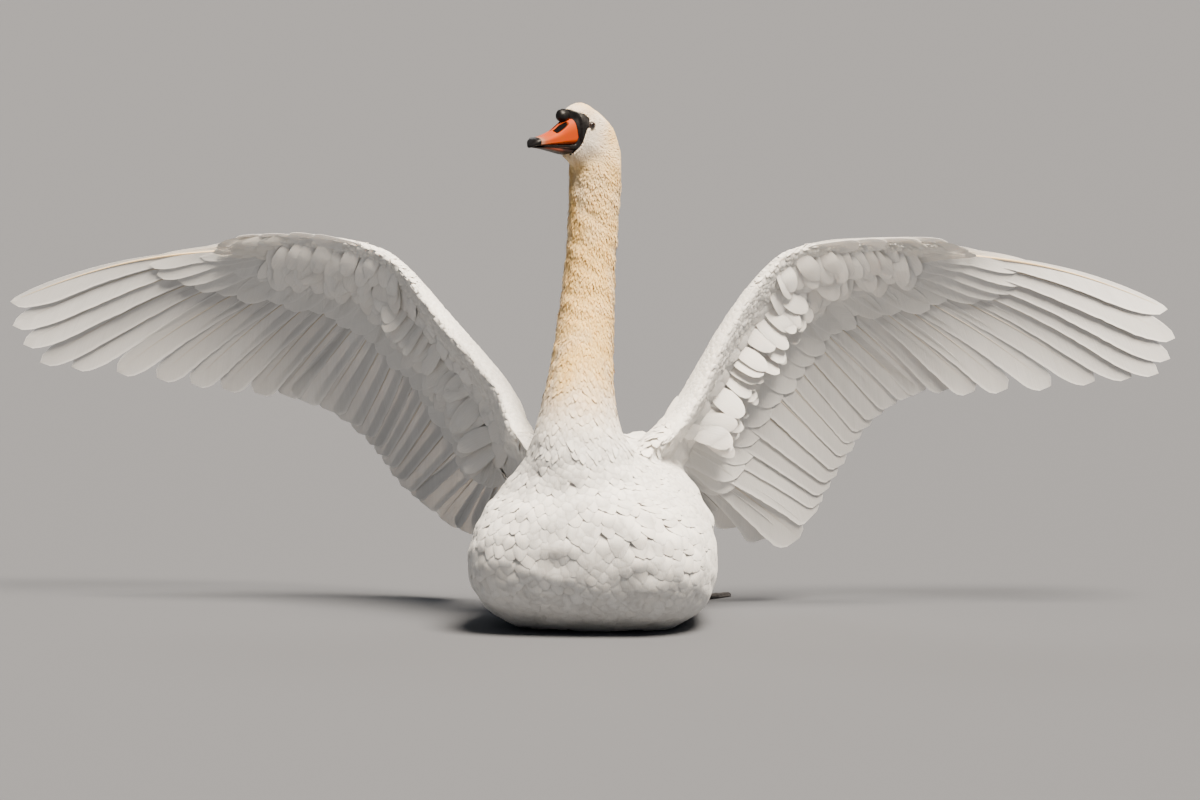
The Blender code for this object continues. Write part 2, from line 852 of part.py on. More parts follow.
def wing_nodes(side, sign, wing, finishes, nodes, flesh_cutter):
    limb, quill, covert = finishes
    arm = wing_limb(f"wing_arm_{side}", wing, 0.0, WRIST - 0.004, ARM_STATIONS, limb, nodes)
    wing_limb(f"wing_hand_{side}", wing, WRIST + 0.004, WING_END, HAND_STATIONS, limb, nodes)
    cut_away(arm, [flesh_cutter])
    fan, quills = flight_feathers(side, sign, wing, quill, nodes)
    coverts = greater_coverts(side, fan, covert, nodes)
    for sheet in (quills[0], *coverts):
        cut_away(sheet, [flesh_cutter])
    alula(side, wing, quill, nodes)
    return arm, quills[0], *coverts


# ---- tail and feet ----
def tail_feathers(finish, collection):
    """A fan of tail quills that falls away from the end of the trunk."""
    fall = math.radians(TAIL_FALL)
    back = np.array((0.0, math.cos(fall), -math.sin(fall)))
    across = np.array((1.0, 0.0, 0.0))
    upper = np.array((0.0, math.sin(fall), math.cos(fall)))
    start = np.asarray(TAIL_ROOT, float)
    roots = []
    for share in np.linspace(-1, 1, TAIL_FEATHERS + 1):
        roots.append(start + across * TAIL_ROOT_HALF_WIDTH * share - upper * TAIL_ARCH * share**2)
    tips = []
    for share in np.linspace(-1, 1, TAIL_FEATHERS):
        angle = math.radians(TAIL_SPREAD) * share
        length = TAIL_LENGTH + (TAIL_SIDE_LENGTH - TAIL_LENGTH) * share**2
        root = start + across * TAIL_ROOT_HALF_WIDTH * share
        aim = root + (back * math.cos(angle) + across * math.sin(angle)) * length
        tips.append(aim - upper * TAIL_ARCH * 2 * share**2)
    uppers = [upper] * (TAIL_FEATHERS + 1)
    fan = (roots, uppers, uppers, edge_aims_of(tips), tips)
    notches = [TAIL_NOTCH] * (TAIL_FEATHERS + 1)
    return quill_sheet(
        "tail_feathers", fan, notches, 0.0, finish, collection, TAIL_THICKNESS, VANE_THICKNESS, 0.0
    )


def foot(side, sign, finish, collection):
    """A webbed foot laid back flat on the floor, with three raised toes."""
    start = np.array((FOOT_START[0] * sign, FOOT_START[1], 0.0))
    columns = []
    for toe, (angle, length) in enumerate(zip(TOE_ANGLES, TOE_LENGTHS)):
        columns.append((angle - TOE_HALF_ANGLE, length * 0.97, False))
        columns.append((angle, length, True))
        columns.append((angle + TOE_HALF_ANGLE, length * 0.97, False))
        if toe + 1 < len(TOE_ANGLES):
            reach = (length + TOE_LENGTHS[toe + 1]) / 2 * WEB_REACH
            columns.append(((angle + TOE_ANGLES[toe + 1]) / 2, reach, False))
    points = []
    rows = (0.10, 0.40, 0.72, 1.0)
    for angle, length, raised in columns:
        turn = math.radians(angle) * sign
        aim = np.array((math.sin(turn), math.cos(turn), 0.0))
        for share in rows:
            height = WEB_THICKNESS
            if raised:
                height = TOE_HEIGHT * (1.0 - 0.45 * share)
            place = start + aim * length * share
            points.append(place + np.array((0.0, 0.0, height)))
            points.append(place)
    deep = len(rows)
    faces = []
    for c in range(len(columns) - 1):
        for r in range(deep - 1):
            a = 2 * (c * deep + r)
            b = 2 * ((c + 1) * deep + r)
            faces.append((a, b, b + 2, a + 2))
            faces.append((a + 1, a + 3, b + 3, b + 1))
        low = 2 * c * deep
        low_next = 2 * (c + 1) * deep
        faces.append((low, low + 1, low_next + 1, low_next))
        high = low + 2 * (deep - 1)
        high_next = low_next + 2 * (deep - 1)
        faces.append((high, high_next, high_next + 1, high + 1))
    for c in (0, len(columns) - 1):
        for r in range(deep - 1):
            a = 2 * (c * deep + r)
            faces.append((a, a + 2, a + 3, a + 1))
    return mesh_object(f"foot_{side}", points, faces, finish, collection)


def leg(side, sign, finish, collection, cutters):
    """The shank, from the feathers of the flank down to the foot."""
    top = np.array((LEG_TOP[0] * sign, *LEG_TOP[1:]))
    ankle = np.array((LEG_ANKLE[0] * sign, *LEG_ANKLE[1:]))
    aim = unit(ankle - top)
    across = unit(np.cross(aim, (0.0, 0.0, 1.0)))
    rise = np.cross(across, aim)
    rings = []
    for share, swell in ((0.0, 1.0), (0.35, 0.85), (0.7, 0.85), (0.9, 1.1), (1.0, 0.8)):
        radius = (LEG_RADII[0] + (LEG_RADII[1] - LEG_RADII[0]) * share) * swell
        rings.append(egg_ring(top + (ankle - top) * share, across, rise, radius, radius, radius, 2.0, 12))
    made = loft(f"leg_{side}", rings, finish, collection)
    cut_away(made, cutters)


def scapulars(side, sign, cutters, finish, collection):
    """The pad of shoulder feathers between the back and the root of the wing."""
    centre = np.array((SCAPULAR_PLACE[0] * sign + TRUNK_X, *SCAPULAR_PLACE[1:]))
    slope = math.radians(SCAPULAR_SLOPE)
    lean = math.radians(SCAPULAR_LEAN) * sign
    along_back = np.array((0.0, math.cos(slope), -math.sin(slope)))
    outward = unit(np.array((math.cos(lean), 0.0, -math.sin(lean))))
    lift = np.cross(outward, along_back)
    pad = ellipsoid(
        f"scapulars_{side}", centre, SCAPULAR_RADII, (along_back, outward, lift), finish, collection, 9, 14
    )
    cut_away(pad, cutters)


def build():
    clear_scene()
    nodes = bpy.data.collections.new(NAME)
    helpers = bpy.data.collections.new("cutters")
    bpy.context.scene.collection.children.link(nodes)
    bpy.context.scene.collection.children.link(helpers)

    plumage = material("white_plumage", (0.86, 0.85, 0.82), 0.85)
    cream = material("cream_plumage", (0.84, 0.74, 0.58), 0.85)
    quill = material("flight_feather", (0.80, 0.80, 0.79), 0.70)
    covert = material("covert_feather", (0.86, 0.86, 0.84), 0.80)
    orange = material("orange_bill", (0.85, 0.24, 0.03), 0.45)
    black = material("black_skin", (0.015, 0.014, 0.014), 0.45)
    eye = material("eye", (0.02, 0.012, 0.008), 0.08)
    skin = material("leg_skin", (0.035, 0.034, 0.036), 0.60)

    form = flesh_form(plumage, helpers)
    floor_cut = ((0.0, 0.0, -GAP / 2), (0.0, 0.0, 1.0), 1.0)
    head = flesh_piece("head", form, [(*CUT_HEAD, 1.0)], cream, nodes)
    flesh_piece("neck_upper", form, [(*CUT_HEAD, -1.0), (*CUT_NECK, 1.0)], cream, nodes)
    flesh_piece("neck_lower", form, [(*CUT_NECK, -1.0), (*CUT_NECK_BASE, 1.0)], cream, nodes)
    breast = flesh_piece(
        "breast", form, [(*CUT_NECK_BASE, -1.0), (*CUT_BREAST, 1.0), floor_cut], plumage, nodes
    )
    trunk = flesh_piece(
        "trunk", form, [(*CUT_NECK_BASE, -1.0), (*CUT_BREAST, -1.0), (*CUT_RUMP, 1.0), floor_cut], plumage, nodes
    )
    rump = flesh_piece("rump", form, [(*CUT_RUMP, -1.0), floor_cut], plumage, nodes)

    up = np.array((0.0, 0.0, 1.0))
    forward, left = head_frame()
    knob = ellipsoid("bill_knob", head_point(*KNOB), KNOB_RADII, (forward, left, up), black, nodes, 8, 14)
    upper = head_loft("bill_upper", UPPER_BILL, BILL_POWER, 1, orange, nodes)
    nail = head_loft("bill_nail", NAIL, BILL_POWER, 1, black, nodes, bulge=0.0)
    lower = head_loft("bill_lower", LOWER_BILL, BILL_POWER, 1, black, nodes)
    seats = [swollen(piece, piece.name + "_seat", SEAT_GAP, helpers) for piece in (knob, upper, lower)]
    cut_away(head, seats)
    cut_away(upper, seats[:1])
    for side, sign in SIDES:
        centre = head_point(EYE[0], EYE[1] * sign, EYE[2])
        ball = ellipsoid(f"eye_{side}", centre, (EYE_RADIUS,) * 3, (left, forward, up), eye, nodes, 8, 14)
        cut_away(head, [swollen(ball, ball.name + "_seat", SEAT_GAP, helpers)])

    flesh_cutter = swollen(form, "flesh_cutter", SEAT_GAP, helpers)
    finishes = (plumage, quill, covert)
    cut_away(tail_feathers(quill, nodes), [flesh_cutter])
    for (side, sign), wing in zip(SIDES, (WING_LEFT, WING_RIGHT)):
        near = wing_nodes(side, sign, wing, finishes, nodes, flesh_cutter)
        cutters = [flesh_cutter]
        for piece in near:
            cutters.append(swollen(piece, piece.name + "_cutter", SEAT_GAP, helpers))
        scapulars(side, sign, cutters, plumage, nodes)
        sole = foot(side, sign, skin, nodes)
        sole_cutter = swollen(sole, f"foot_cutter_{side}", SEAT_GAP, helpers)
        leg(side, sign, skin, nodes, (flesh_cutter, sole_cutter))

    for item in list(helpers.objects):
        item.hide_render = True
        item.display_type = "WIRE"
    form.hide_render = True


build()
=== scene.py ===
"""Mute swan museum model: skin, plumage, bill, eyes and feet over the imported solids.

The bird faces -Y, its left side is +X and the floor is z = 0. Lengths are in metres.
"""

import math

import bmesh
import bpy
import numpy as np
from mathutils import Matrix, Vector
from mathutils.bvhtree import BVHTree


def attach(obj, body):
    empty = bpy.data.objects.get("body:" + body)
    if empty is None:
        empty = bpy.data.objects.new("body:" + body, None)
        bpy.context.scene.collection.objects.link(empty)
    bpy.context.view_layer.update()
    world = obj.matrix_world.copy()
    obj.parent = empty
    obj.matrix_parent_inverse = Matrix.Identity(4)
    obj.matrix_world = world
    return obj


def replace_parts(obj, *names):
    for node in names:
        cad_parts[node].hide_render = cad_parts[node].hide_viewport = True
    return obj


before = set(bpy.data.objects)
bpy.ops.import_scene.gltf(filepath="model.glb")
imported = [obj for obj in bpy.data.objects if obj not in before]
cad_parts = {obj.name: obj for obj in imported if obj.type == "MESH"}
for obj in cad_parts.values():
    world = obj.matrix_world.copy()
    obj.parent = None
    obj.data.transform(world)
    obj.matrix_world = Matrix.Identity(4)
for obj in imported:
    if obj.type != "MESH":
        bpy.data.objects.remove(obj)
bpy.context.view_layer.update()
CHANCE = np.random.default_rng(7)

# ---- sizes shared with the solids ----
HEAD_BASE = np.array((0.013, -0.030, 0.0))
HEAD_TURN = math.radians(40.0)
FORWARD = np.array((-math.sin(HEAD_TURN), -math.cos(HEAD_TURN), 0.0))
LEFT = np.array((math.cos(HEAD_TURN), -math.sin(HEAD_TURN), 0.0))
ACROSS = np.array((1.0, 0.0, 0.0))
UP = np.array((0.0, 0.0, 1.0))
SIDES = (("left", 1.0), ("right", -1.0))
TRUNK_X = 0.012
SPINE = (
    (0.013, -0.062, 0.748), (0.013, -0.030, 0.728), (0.012, -0.031, 0.660), (0.007, -0.035, 0.564),
    (0.001, -0.060, 0.450), (-0.003, -0.095, 0.345), (0.000, -0.100, 0.262), (0.008, -0.060, 0.190),
    (0.012, 0.020, 0.145), (0.012, 0.200, 0.130), (0.012, 0.480, 0.118),
)

# ---- bill, in the head's own frame: forward, low, high, half width ----
UPPER_BILL = (
    (0.056, 0.7265, 0.7690, 0.0170), (0.070, 0.7276, 0.7630, 0.0165), (0.086, 0.7290, 0.7520, 0.0158),
    (0.100, 0.7298, 0.7462, 0.0155), (0.112, 0.7302, 0.7430, 0.0158), (0.1230, 0.7300, 0.7420, 0.0146),
)
NAIL = (
    (0.1234, 0.7298, 0.7424, 0.0142), (0.1285, 0.7290, 0.7398, 0.0118), (0.1328, 0.7284, 0.7352, 0.0074),
    (0.1360, 0.7284, 0.7314, 0.0028),
)
LOWER_BILL = (
    (0.056, 0.7150, 0.7256, 0.0150), (0.070, 0.7136, 0.7267, 0.0150), (0.088, 0.7180, 0.7282, 0.0143),
    (0.106, 0.7226, 0.7291, 0.0132), (0.120, 0.7256, 0.7293, 0.0108), (0.1280, 0.7268, 0.7284, 0.0050),
)
EYE = (0.033, 0.0262, 0.7570)
EYE_RADIUS = 0.0057
KNOB = (0.0665, 0.0, 0.7718)
KNOB_RADII = (0.0115, 0.0098, 0.0105)

# ---- bare skin before the eyes: how far forward it starts at each height ----
LORE_HEIGHTS = (
    0.700, 0.712, 0.723, 0.7306, 0.738, 0.7492, 0.7570, 0.764, 0.7694, 0.774, 0.779, 0.784, 0.800
)
LORE_BACK = (
    0.070, 0.062, 0.0540, 0.0492, 0.0465, 0.0428, 0.0385, 0.0360, 0.0364, 0.0408, 0.052, 0.060, 0.070
)

# ---- wings: lines through the named places from the body outwards ----
WINGS = {}
WINGS["left"] = {
    "leading_edge": (
        (0.045, -0.085, 0.243), (0.082, -0.045, 0.286), (0.129, 0.030, 0.333), (0.180, 0.100, 0.446),
        (0.241, 0.145, 0.532), (0.300, 0.165, 0.567), (0.411, 0.185, 0.571), (0.523, 0.205, 0.566),
    ),
    "quill_line": (
        (0.060, 0.110, 0.150), (0.113, 0.140, 0.210), (0.154, 0.175, 0.301), (0.221, 0.200, 0.406),
        (0.268, 0.203, 0.464), (0.306, 0.204, 0.504), (0.402, 0.213, 0.533), (0.518, 0.225, 0.547),
    ),
    "tertial_tips": (
        (0.150, 0.262, 0.142), (0.190, 0.285, 0.116), (0.238, 0.298, 0.100), (0.285, 0.310, 0.098),
    ),
    "secondary_tips": (
        (0.312, 0.314, 0.140), (0.334, 0.315, 0.180), (0.360, 0.314, 0.222), (0.387, 0.311, 0.265),
        (0.430, 0.306, 0.305), (0.478, 0.302, 0.328),
    ),
    "primary_tips": (
        (0.516, 0.300, 0.331), (0.553, 0.301, 0.327), (0.602, 0.305, 0.330), (0.668, 0.310, 0.334),
        (0.734, 0.315, 0.341), (0.790, 0.320, 0.347), (0.830, 0.325, 0.352), (0.847, 0.330, 0.374),
        (0.854, 0.335, 0.405), (0.842, 0.340, 0.449),
    ),
}
WINGS["right"] = {
    "leading_edge": (
        (-0.035, -0.080, 0.275), (-0.084, -0.045, 0.304), (-0.120, 0.020, 0.361), (-0.220, 0.090, 0.456),
        (-0.288, 0.135, 0.529), (-0.350, 0.150, 0.563), (-0.462, 0.165, 0.573), (-0.568, 0.175, 0.562),
    ),
    "quill_line": (
        (-0.060, 0.110, 0.150), (-0.150, 0.140, 0.215), (-0.191, 0.170, 0.296), (-0.259, 0.188, 0.401),
        (-0.312, 0.190, 0.460), (-0.354, 0.188, 0.503), (-0.462, 0.190, 0.532), (-0.566, 0.194, 0.543),
    ),
    "tertial_tips": (
        (-0.188, 0.262, 0.138), (-0.208, 0.282, 0.117), (-0.236, 0.295, 0.106), (-0.268, 0.304, 0.122),
    ),
    "secondary_tips": (
        (-0.300, 0.304, 0.148), (-0.333, 0.303, 0.175), (-0.360, 0.301, 0.212), (-0.388, 0.297, 0.246),
        (-0.443, 0.287, 0.289), (-0.512, 0.276, 0.314),
    ),
    "primary_tips": (
        (-0.550, 0.270, 0.315), (-0.598, 0.264, 0.321), (-0.645, 0.258, 0.328), (-0.697, 0.250, 0.337),
        (-0.757, 0.240, 0.346), (-0.825, 0.230, 0.353), (-0.872, 0.220, 0.360), (-0.896, 0.210, 0.388),
        (-0.911, 0.205, 0.417), (-0.914, 0.200, 0.454),
    ),
}


# ---- small helpers ----
def unit(vector):
    vector = np.asarray(vector, float)
    return vector / np.maximum(np.linalg.norm(vector, axis=-1, keepdims=True), 1e-12)


def without(way, axis):
    """The way with its part along the axis taken out."""
    return way - axis * (way * axis).sum(axis=-1, keepdims=True)


def along(points, place):
    """A smooth curve through the points: place 0 is the first, 1 the second, and so on."""
    points = np.asarray(points, float)
    last = len(points) - 1
    place = min(max(place, 0.0), float(last))
    start = min(int(place), last - 1)
    t = place - start
    before = points[max(start - 1, 0)]
    first, second = points[start : start + 2]
    after = points[min(start + 2, last)]
    return 0.5 * (
        2 * first
        + (second - before) * t
        + (2 * before - 5 * first + 4 * second - after) * t**2
        + (3 * first - before - 3 * second + after) * t**3
    )


def curve(points, count):
    """Points at even places along the smooth curve."""
    return np.array([along(points, place) for place in np.linspace(0, len(points) - 1, count)])


def ramp(value, low, high):
    """0 below low, 1 above high, and smooth between."""
    t = np.clip((np.asarray(value, float) - low) / (high - low), 0.0, 1.0)
    return t * t * (3 - 2 * t)


def turns(count):
    """Even angles all the way round."""
    return np.linspace(0, 2 * math.pi, count, endpoint=False)


def head_point(forward, left, height):
    """A place, or a grid of them, from the head's own frame."""
    forward, left, height = (np.asarray(value, float)[..., None] for value in (forward, left, height))
    return HEAD_BASE + forward * FORWARD + left * LEFT + height * UP


def ahead_of(points):
    """How far each point lies before the head's upright axis."""
    return (points[:, :2] - HEAD_BASE[:2]) @ FORWARD[:2]


def soft_noise(points, size, seed):
    """A smooth field of about -1 to 1 with bumps of about that size."""
    picker = np.random.default_rng(seed)
    total = np.zeros(len(points))
    for _ in range(9):
        wave = unit(picker.normal(size=3)) * (2 * math.pi / size) * picker.uniform(0.6, 1.3)
        total += np.sin(points @ wave + picker.uniform(0, 2 * math.pi))
    return total / 3.0


# ---- meshes from arrays ----
def grid_faces(rows, columns, closed=False):
    """Quads over a grid of rows by columns points; closed joins the last column to the first."""
    r, c = np.meshgrid(np.arange(rows - 1), np.arange(columns if closed else columns - 1), indexing="ij")
    here = (r * columns + c).ravel()
    beside = (r * columns + (c + 1) % columns).ravel()
    return np.stack((here, beside, beside + columns, here + columns), axis=1)


def slab_faces(rows, columns):
    """Quads of a closed slab: one grid of points, a second under it, and walls round the rim."""
    top = grid_faces(rows, columns)
    count = rows * columns
    rim = np.concatenate((
        np.arange(rows) * columns,
        (rows - 1) * columns + np.arange(1, columns),
        np.arange(rows - 1)[::-1] * columns + columns - 1,
        np.arange(1, columns - 1)[::-1],
    ))
    following = np.roll(rim, -1)
    walls = np.stack((rim, following, following + count, rim + count), axis=1)
    return np.concatenate((top, top[:, ::-1] + count, walls))


def grid_uv(across, down):
    """A uv for each point of a grid, from one value for each column and one for each row."""
    return np.stack(np.meshgrid(across, down), axis=-1).reshape(-1, 2)


def tube_points(line, across, above, radius, flatness, around):
    """Rings round a line. The radius has one value or a ring of them for each point of the line."""
    turn = turns(around)
    across, above = (np.broadcast_to(way, line.shape)[:, None] for way in (across, above))
    wide = (np.cos(turn) * radius * flatness)[..., None]
    tall = (np.sin(turn) * radius)[..., None]
    return line[:, None] + across * wide + above * tall


def set_values(mesh, values):
    """Named values for each point, as numbers or as vectors."""
    for name, value in values.items():
        value = np.asarray(value, np.float32)
        kind, field = ("FLOAT", "value") if value.ndim == 1 else ("FLOAT_VECTOR", "vector")
        mesh.attributes.new(name, kind, "POINT").data.foreach_set(field, value.ravel())


def mesh_object(name, mesh, finish):
    """The smooth mesh as a piece of the model, in one finish."""
    mesh.polygons.foreach_set("use_smooth", np.ones(len(mesh.polygons), bool))
    mesh.materials.clear()
    mesh.materials.append(finish)
    made = bpy.data.objects.new(name, mesh)
    bpy.context.scene.collection.objects.link(made)
    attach(made, "root")
    return made


def mesh_piece(name, points, faces, finish, slot, uv, **values):
    """A piece from arrays: faces of one count of corners, a uv for each point, and named point values."""
    points = np.asarray(points, np.float32).reshape(-1, 3)
    faces = np.asarray(faces, np.int32)
    mesh = bpy.data.meshes.new(name)
    mesh.vertices.add(len(points))
    mesh.vertices.foreach_set("co", points.ravel())
    mesh.loops.add(faces.size)
    mesh.loops.foreach_set("vertex_index", faces.ravel())
    mesh.polygons.add(len(faces))
    mesh.polygons.foreach_set("loop_start", np.arange(0, faces.size, faces.shape[1], dtype=np.int32))
    mesh.update(calc_edges=True)
    layer = mesh.uv_layers.new(name="OFBake")
    layer.data.foreach_set("uv", np.asarray(uv, np.float32)[faces.ravel()].ravel())
    set_values(mesh, values)
    mesh.validate()
    return mesh_object(name, mesh, finish)


def read(values, field, size, kind=np.float32):
    """One field of a mesh's points or corners as a flat array."""
    found = np.empty(len(values) * size, kind)
    values.foreach_get(field, found)
    return found


def tree_of(points, faces):
    return BVHTree.FromPolygons(points.tolist(), faces.tolist())


# ---- markings, the same on the skin and on the coat ----
def wing_share(points):
    """1 on the wings, 0 on the body and neck."""
    border = np.interp(points[:, 2], (0.20, 0.24, 0.28, 0.32, 0.40), (0.220, 0.172, 0.126, 0.092, 0.078))
    over = ramp(np.abs(points[:, 0] - TRUNK_X) - border, -0.010, 0.014)
    return over * ramp(points[:, 2], 0.205, 0.235)


def cream_of(points):
    """How strongly the plumage is stained: crown, nape and neck, and not the face or the breast."""
    z = points[:, 2]
    ahead = ahead_of(points)
    body = 1 - wing_share(points)
    neck = ramp(z, 0.29, 0.42) * (1 - 0.12 * ramp(z, 0.52, 0.66))
    face = ramp(z, 0.695, 0.73) * ramp(ahead, -0.012, 0.020)
    crown = ramp(z, 0.765, 0.785) * (1 - ramp(ahead, 0.028, 0.05))
    stain = (neck * (1 - 0.50 * face) + 0.25 * crown) * body
    return np.clip(stain + 0.11 * soft_noise(points, 0.035, 3) * neck * body, 0.0, 1.0)


# ---- material helpers: a value is a number, a colour or another node's output ----
def feed(tree, value, socket):
    if isinstance(value, bpy.types.NodeSocket):
        tree.links.new(value, socket)
    else:
        socket.default_value = (*value, 1.0) if isinstance(value, tuple) else value


def node(tree, kind, *values, output=0, **settings):
    """The output of a new node, with its settings and its first inputs given."""
    made = tree.nodes.new(kind)
    for key, value in settings.items():
        setattr(made, key, value)
    for place, value in enumerate(values):
        feed(tree, value, made.inputs[place])
    return made.outputs[output]


def mixed(tree, factor, first, second):
    """Two colours mixed by a factor."""
    mix = tree.nodes.new("ShaderNodeMix")
    mix.data_type = "RGBA"
    for place, value in ((0, factor), (6, first), (7, second)):
        feed(tree, value, mix.inputs[place])
    return mix.outputs[2]


def ranged(tree, value, low, high, to_low=0.0, to_high=1.0):
    return node(tree, "ShaderNodeMapRange", value, low, high, to_low, to_high)


def attribute(tree, name, output="Fac"):
    return node(tree, "ShaderNodeAttribute", attribute_name=name, output=output)


def noise(tree, vector, scale, detail, stretch=None):
    if stretch is not None:
        turn = tree.nodes.new("ShaderNodeMapping")
        turn.inputs["Scale"].default_value = stretch
        tree.links.new(vector, turn.inputs["Vector"])
        vector = turn.outputs["Vector"]
    made = tree.nodes.new("ShaderNodeTexNoise")
    for name, value in (("Vector", vector), ("Scale", scale), ("Detail", detail)):
        feed(tree, value, made.inputs[name])
    return made.outputs["Fac"]


def new_finish(name, roughness, gloss=0.5, sheen=0.0, depth=0.0):
    """A material, its tree and its shader. Depth is the share of light that sinks into feathers."""
    made = bpy.data.materials.new(name)
    made.use_nodes = True
    shader = made.node_tree.nodes["Principled BSDF"]
    shader.inputs["Roughness"].default_value = roughness
    shader.inputs["Specular IOR Level"].default_value = gloss
    shader.inputs["Sheen Weight"].default_value = sheen
    if depth:
        shader.inputs["Subsurface Weight"].default_value = depth
        shader.inputs["Subsurface Radius"].default_value = (1.0, 0.86, 0.76)
        shader.inputs["Subsurface Scale"].default_value = 0.004
    return made, made.node_tree, shader


def paint(tree, shader, colour, relief, strength, distance):
    """Give the shader its colour, and a fine relief."""
    tree.links.new(colour, shader.inputs["Base Color"])
    bump = tree.nodes.new("ShaderNodeBump")
    for name, value in (("Height", relief), ("Strength", strength), ("Distance", distance)):
        feed(tree, value, bump.inputs[name])
    tree.links.new(bump.outputs["Normal"], shader.inputs["Normal"])


def position(tree):
    return node(tree, "ShaderNodeNewGeometry", output="Position")


# ---- finishes ----
WHITE = (0.885, 0.865, 0.83)
WHITE_SHADE = (0.78, 0.755, 0.715)
CREAM = (0.88, 0.587, 0.20)
CREAM_DEEP = (0.67, 0.385, 0.10)
HORN_BLACK = (0.0035, 0.0032, 0.0035)


def plumage(name, white=WHITE, shade=WHITE_SHADE, roughness=0.85, barbs=0.35):
    """Feathers: white to shade by feather, stained by the marking, streaked along the barbs with painted
    shade between them.
    """
    made, tree, shader = new_finish(name, roughness, gloss=0.25, sheen=0.15, depth=0.30)
    streak = noise(tree, attribute(tree, "vane", "Vector"), 1.0, 3.0, stretch=(60.0, 900.0, 37.0))
    cloud = noise(tree, position(tree), 28.0, 3.0)
    plain = mixed(tree, ranged(tree, attribute(tree, "shade"), 0.0, 1.0), white, shade)
    plain = mixed(tree, ranged(tree, cloud, 0.45, 0.75, 0.0, 0.5), plain, shade)
    stained = mixed(tree, ranged(tree, streak, 0.35, 0.65), CREAM, CREAM_DEEP)
    colour = mixed(tree, attribute(tree, "cream"), plain, stained)
    # painted shade: a darker copy of the shade colour fills the gaps between barbs
    gaps = tuple(0.55 * part for part in shade)
    colour = mixed(tree, ranged(tree, streak, 0.30, 0.70, 0.16, 0.0), colour, gaps)
    paint(tree, shader, colour, streak, barbs, 0.0008)
    return made


def flight_finish(name, colour, shade, pale, shaft):
    """Stiff feathers: fine barbs running out from a pale shaft, painted shade between the barbs and painted
    light along the edges.
    """
    made, tree, shader = new_finish(name, 0.62, gloss=0.35, sheen=0.10, depth=0.28)
    split = node(tree, "ShaderNodeSeparateXYZ", attribute(tree, "vane", "Vector")).node
    lengthwise, sideways, feather = split.outputs
    out = node(tree, "ShaderNodeMath", sideways, operation="ABSOLUTE")
    slant = node(tree, "ShaderNodeMath", out, -1.3, lengthwise, operation="MULTIPLY_ADD")
    lay = node(tree, "ShaderNodeCombineXYZ", slant, sideways, feather)
    barbs = noise(tree, lay, 1.0, 2.0, stretch=(620.0, 26.0, 91.0))
    broad = noise(tree, lay, 1.0, 3.0, stretch=(45.0, 14.0, 53.0))
    # painted shade: a darker copy of the shade colour fills the gaps between barbs
    gaps = tuple(0.72 * part for part in shade)
    base = mixed(tree, ranged(tree, attribute(tree, "shade"), 0.0, 1.0), colour, shade)
    base = mixed(tree, ranged(tree, broad, 0.40, 0.75, 0.0, 0.6), base, shade)
    base = mixed(tree, ranged(tree, barbs, 0.30, 0.72, 0.22, 0.0), base, gaps)
    # painted light: the outer edges of each vane are paler, as if lit through
    base = mixed(tree, ranged(tree, attribute(tree, "edge"), 0.80, 1.0, 0.0, 0.75), base, pale)
    base = mixed(tree, attribute(tree, "shaft"), base, shaft)
    paint(tree, shader, base, barbs, 0.35, 0.0006)
    return made


def skin_material(name, colour, other, roughness, mottle, bump, extra=(), gloss=0.22):
    """Bare skin or horn: a mottled colour with named point values painted over it."""
    made, tree, shader = new_finish(name, roughness, gloss)
    place = position(tree)
    base = mixed(tree, ranged(tree, noise(tree, place, mottle, 4.0), 0.35, 0.70), colour, other)
    for value, over in extra:
        base = mixed(tree, attribute(tree, value), base, over)
        if value == "dark":
            dark = attribute(tree, value)
            tree.links.new(ranged(tree, dark, 0.2, 1.0, roughness, 0.9), shader.inputs["Roughness"])
            tree.links.new(ranged(tree, dark, 0.2, 1.0, gloss, 0.02), shader.inputs["Specular IOR Level"])
    paint(tree, shader, base, noise(tree, place, mottle * 6, 3.0), bump, 0.0004)
    return made


body_coat = plumage("body_coat")
neck_coat = plumage("neck_coat", barbs=0.5)
wing_coat = plumage("wing_coat")
skin_finish = plumage("skin_down", (0.78, 0.76, 0.72), (0.66, 0.64, 0.60), 0.9)
covert_coat = plumage("covert_coat", (0.89, 0.875, 0.85), (0.82, 0.80, 0.77), 0.75)
hand_coat = plumage("hand_coat", (0.88, 0.85, 0.80), (0.82, 0.78, 0.72), 0.75)
# painted shade: the flight and tail feathers are greyer than the white body, as under the wings, and their
# pale edges are painted light
flight = flight_finish(
    "flight_vanes", (0.70, 0.695, 0.69), (0.57, 0.565, 0.56), (0.87, 0.86, 0.85), (0.70, 0.53, 0.32)
)
covert = flight_finish(
    "covert_vanes", (0.86, 0.85, 0.83), (0.76, 0.75, 0.73), (0.88, 0.87, 0.86), (0.84, 0.82, 0.78)
)
# the dark value paints the nostrils' hollows black as painted shade, and the lip's edge its own black
bill_finish = skin_material(
    "bill_orange", (0.36, 0.034, 0.0), (0.33, 0.048, 0.0), 0.55, 160.0, 0.15,
    (("pink", (0.24, 0.070, 0.034)), ("pale", (0.26, 0.145, 0.10)), ("dark", HORN_BLACK)), 0.14,
)
black_finish = skin_material("black_skin", HORN_BLACK, (0.008, 0.0075, 0.008), 0.42, 220.0, 0.35)
lower_finish = skin_material(
    "lower_bill", (0.012, 0.008, 0.008), (0.03, 0.014, 0.012), 0.42, 180.0, 0.2,
    (("pink", (0.17, 0.045, 0.028)),),
)
eye_finish = skin_material(
    "eye", (0.020, 0.010, 0.006), (0.030, 0.016, 0.010), 0.06, 300.0, 0.0,
    (("pupil", (0.004, 0.004, 0.004)),),
)
eye_finish.node_tree.nodes["Principled BSDF"].inputs["Coat Weight"].default_value = 1.0
lid_finish = skin_material("eyelid", (0.030, 0.026, 0.025), (0.09, 0.075, 0.068), 0.45, 420.0, 0.3)
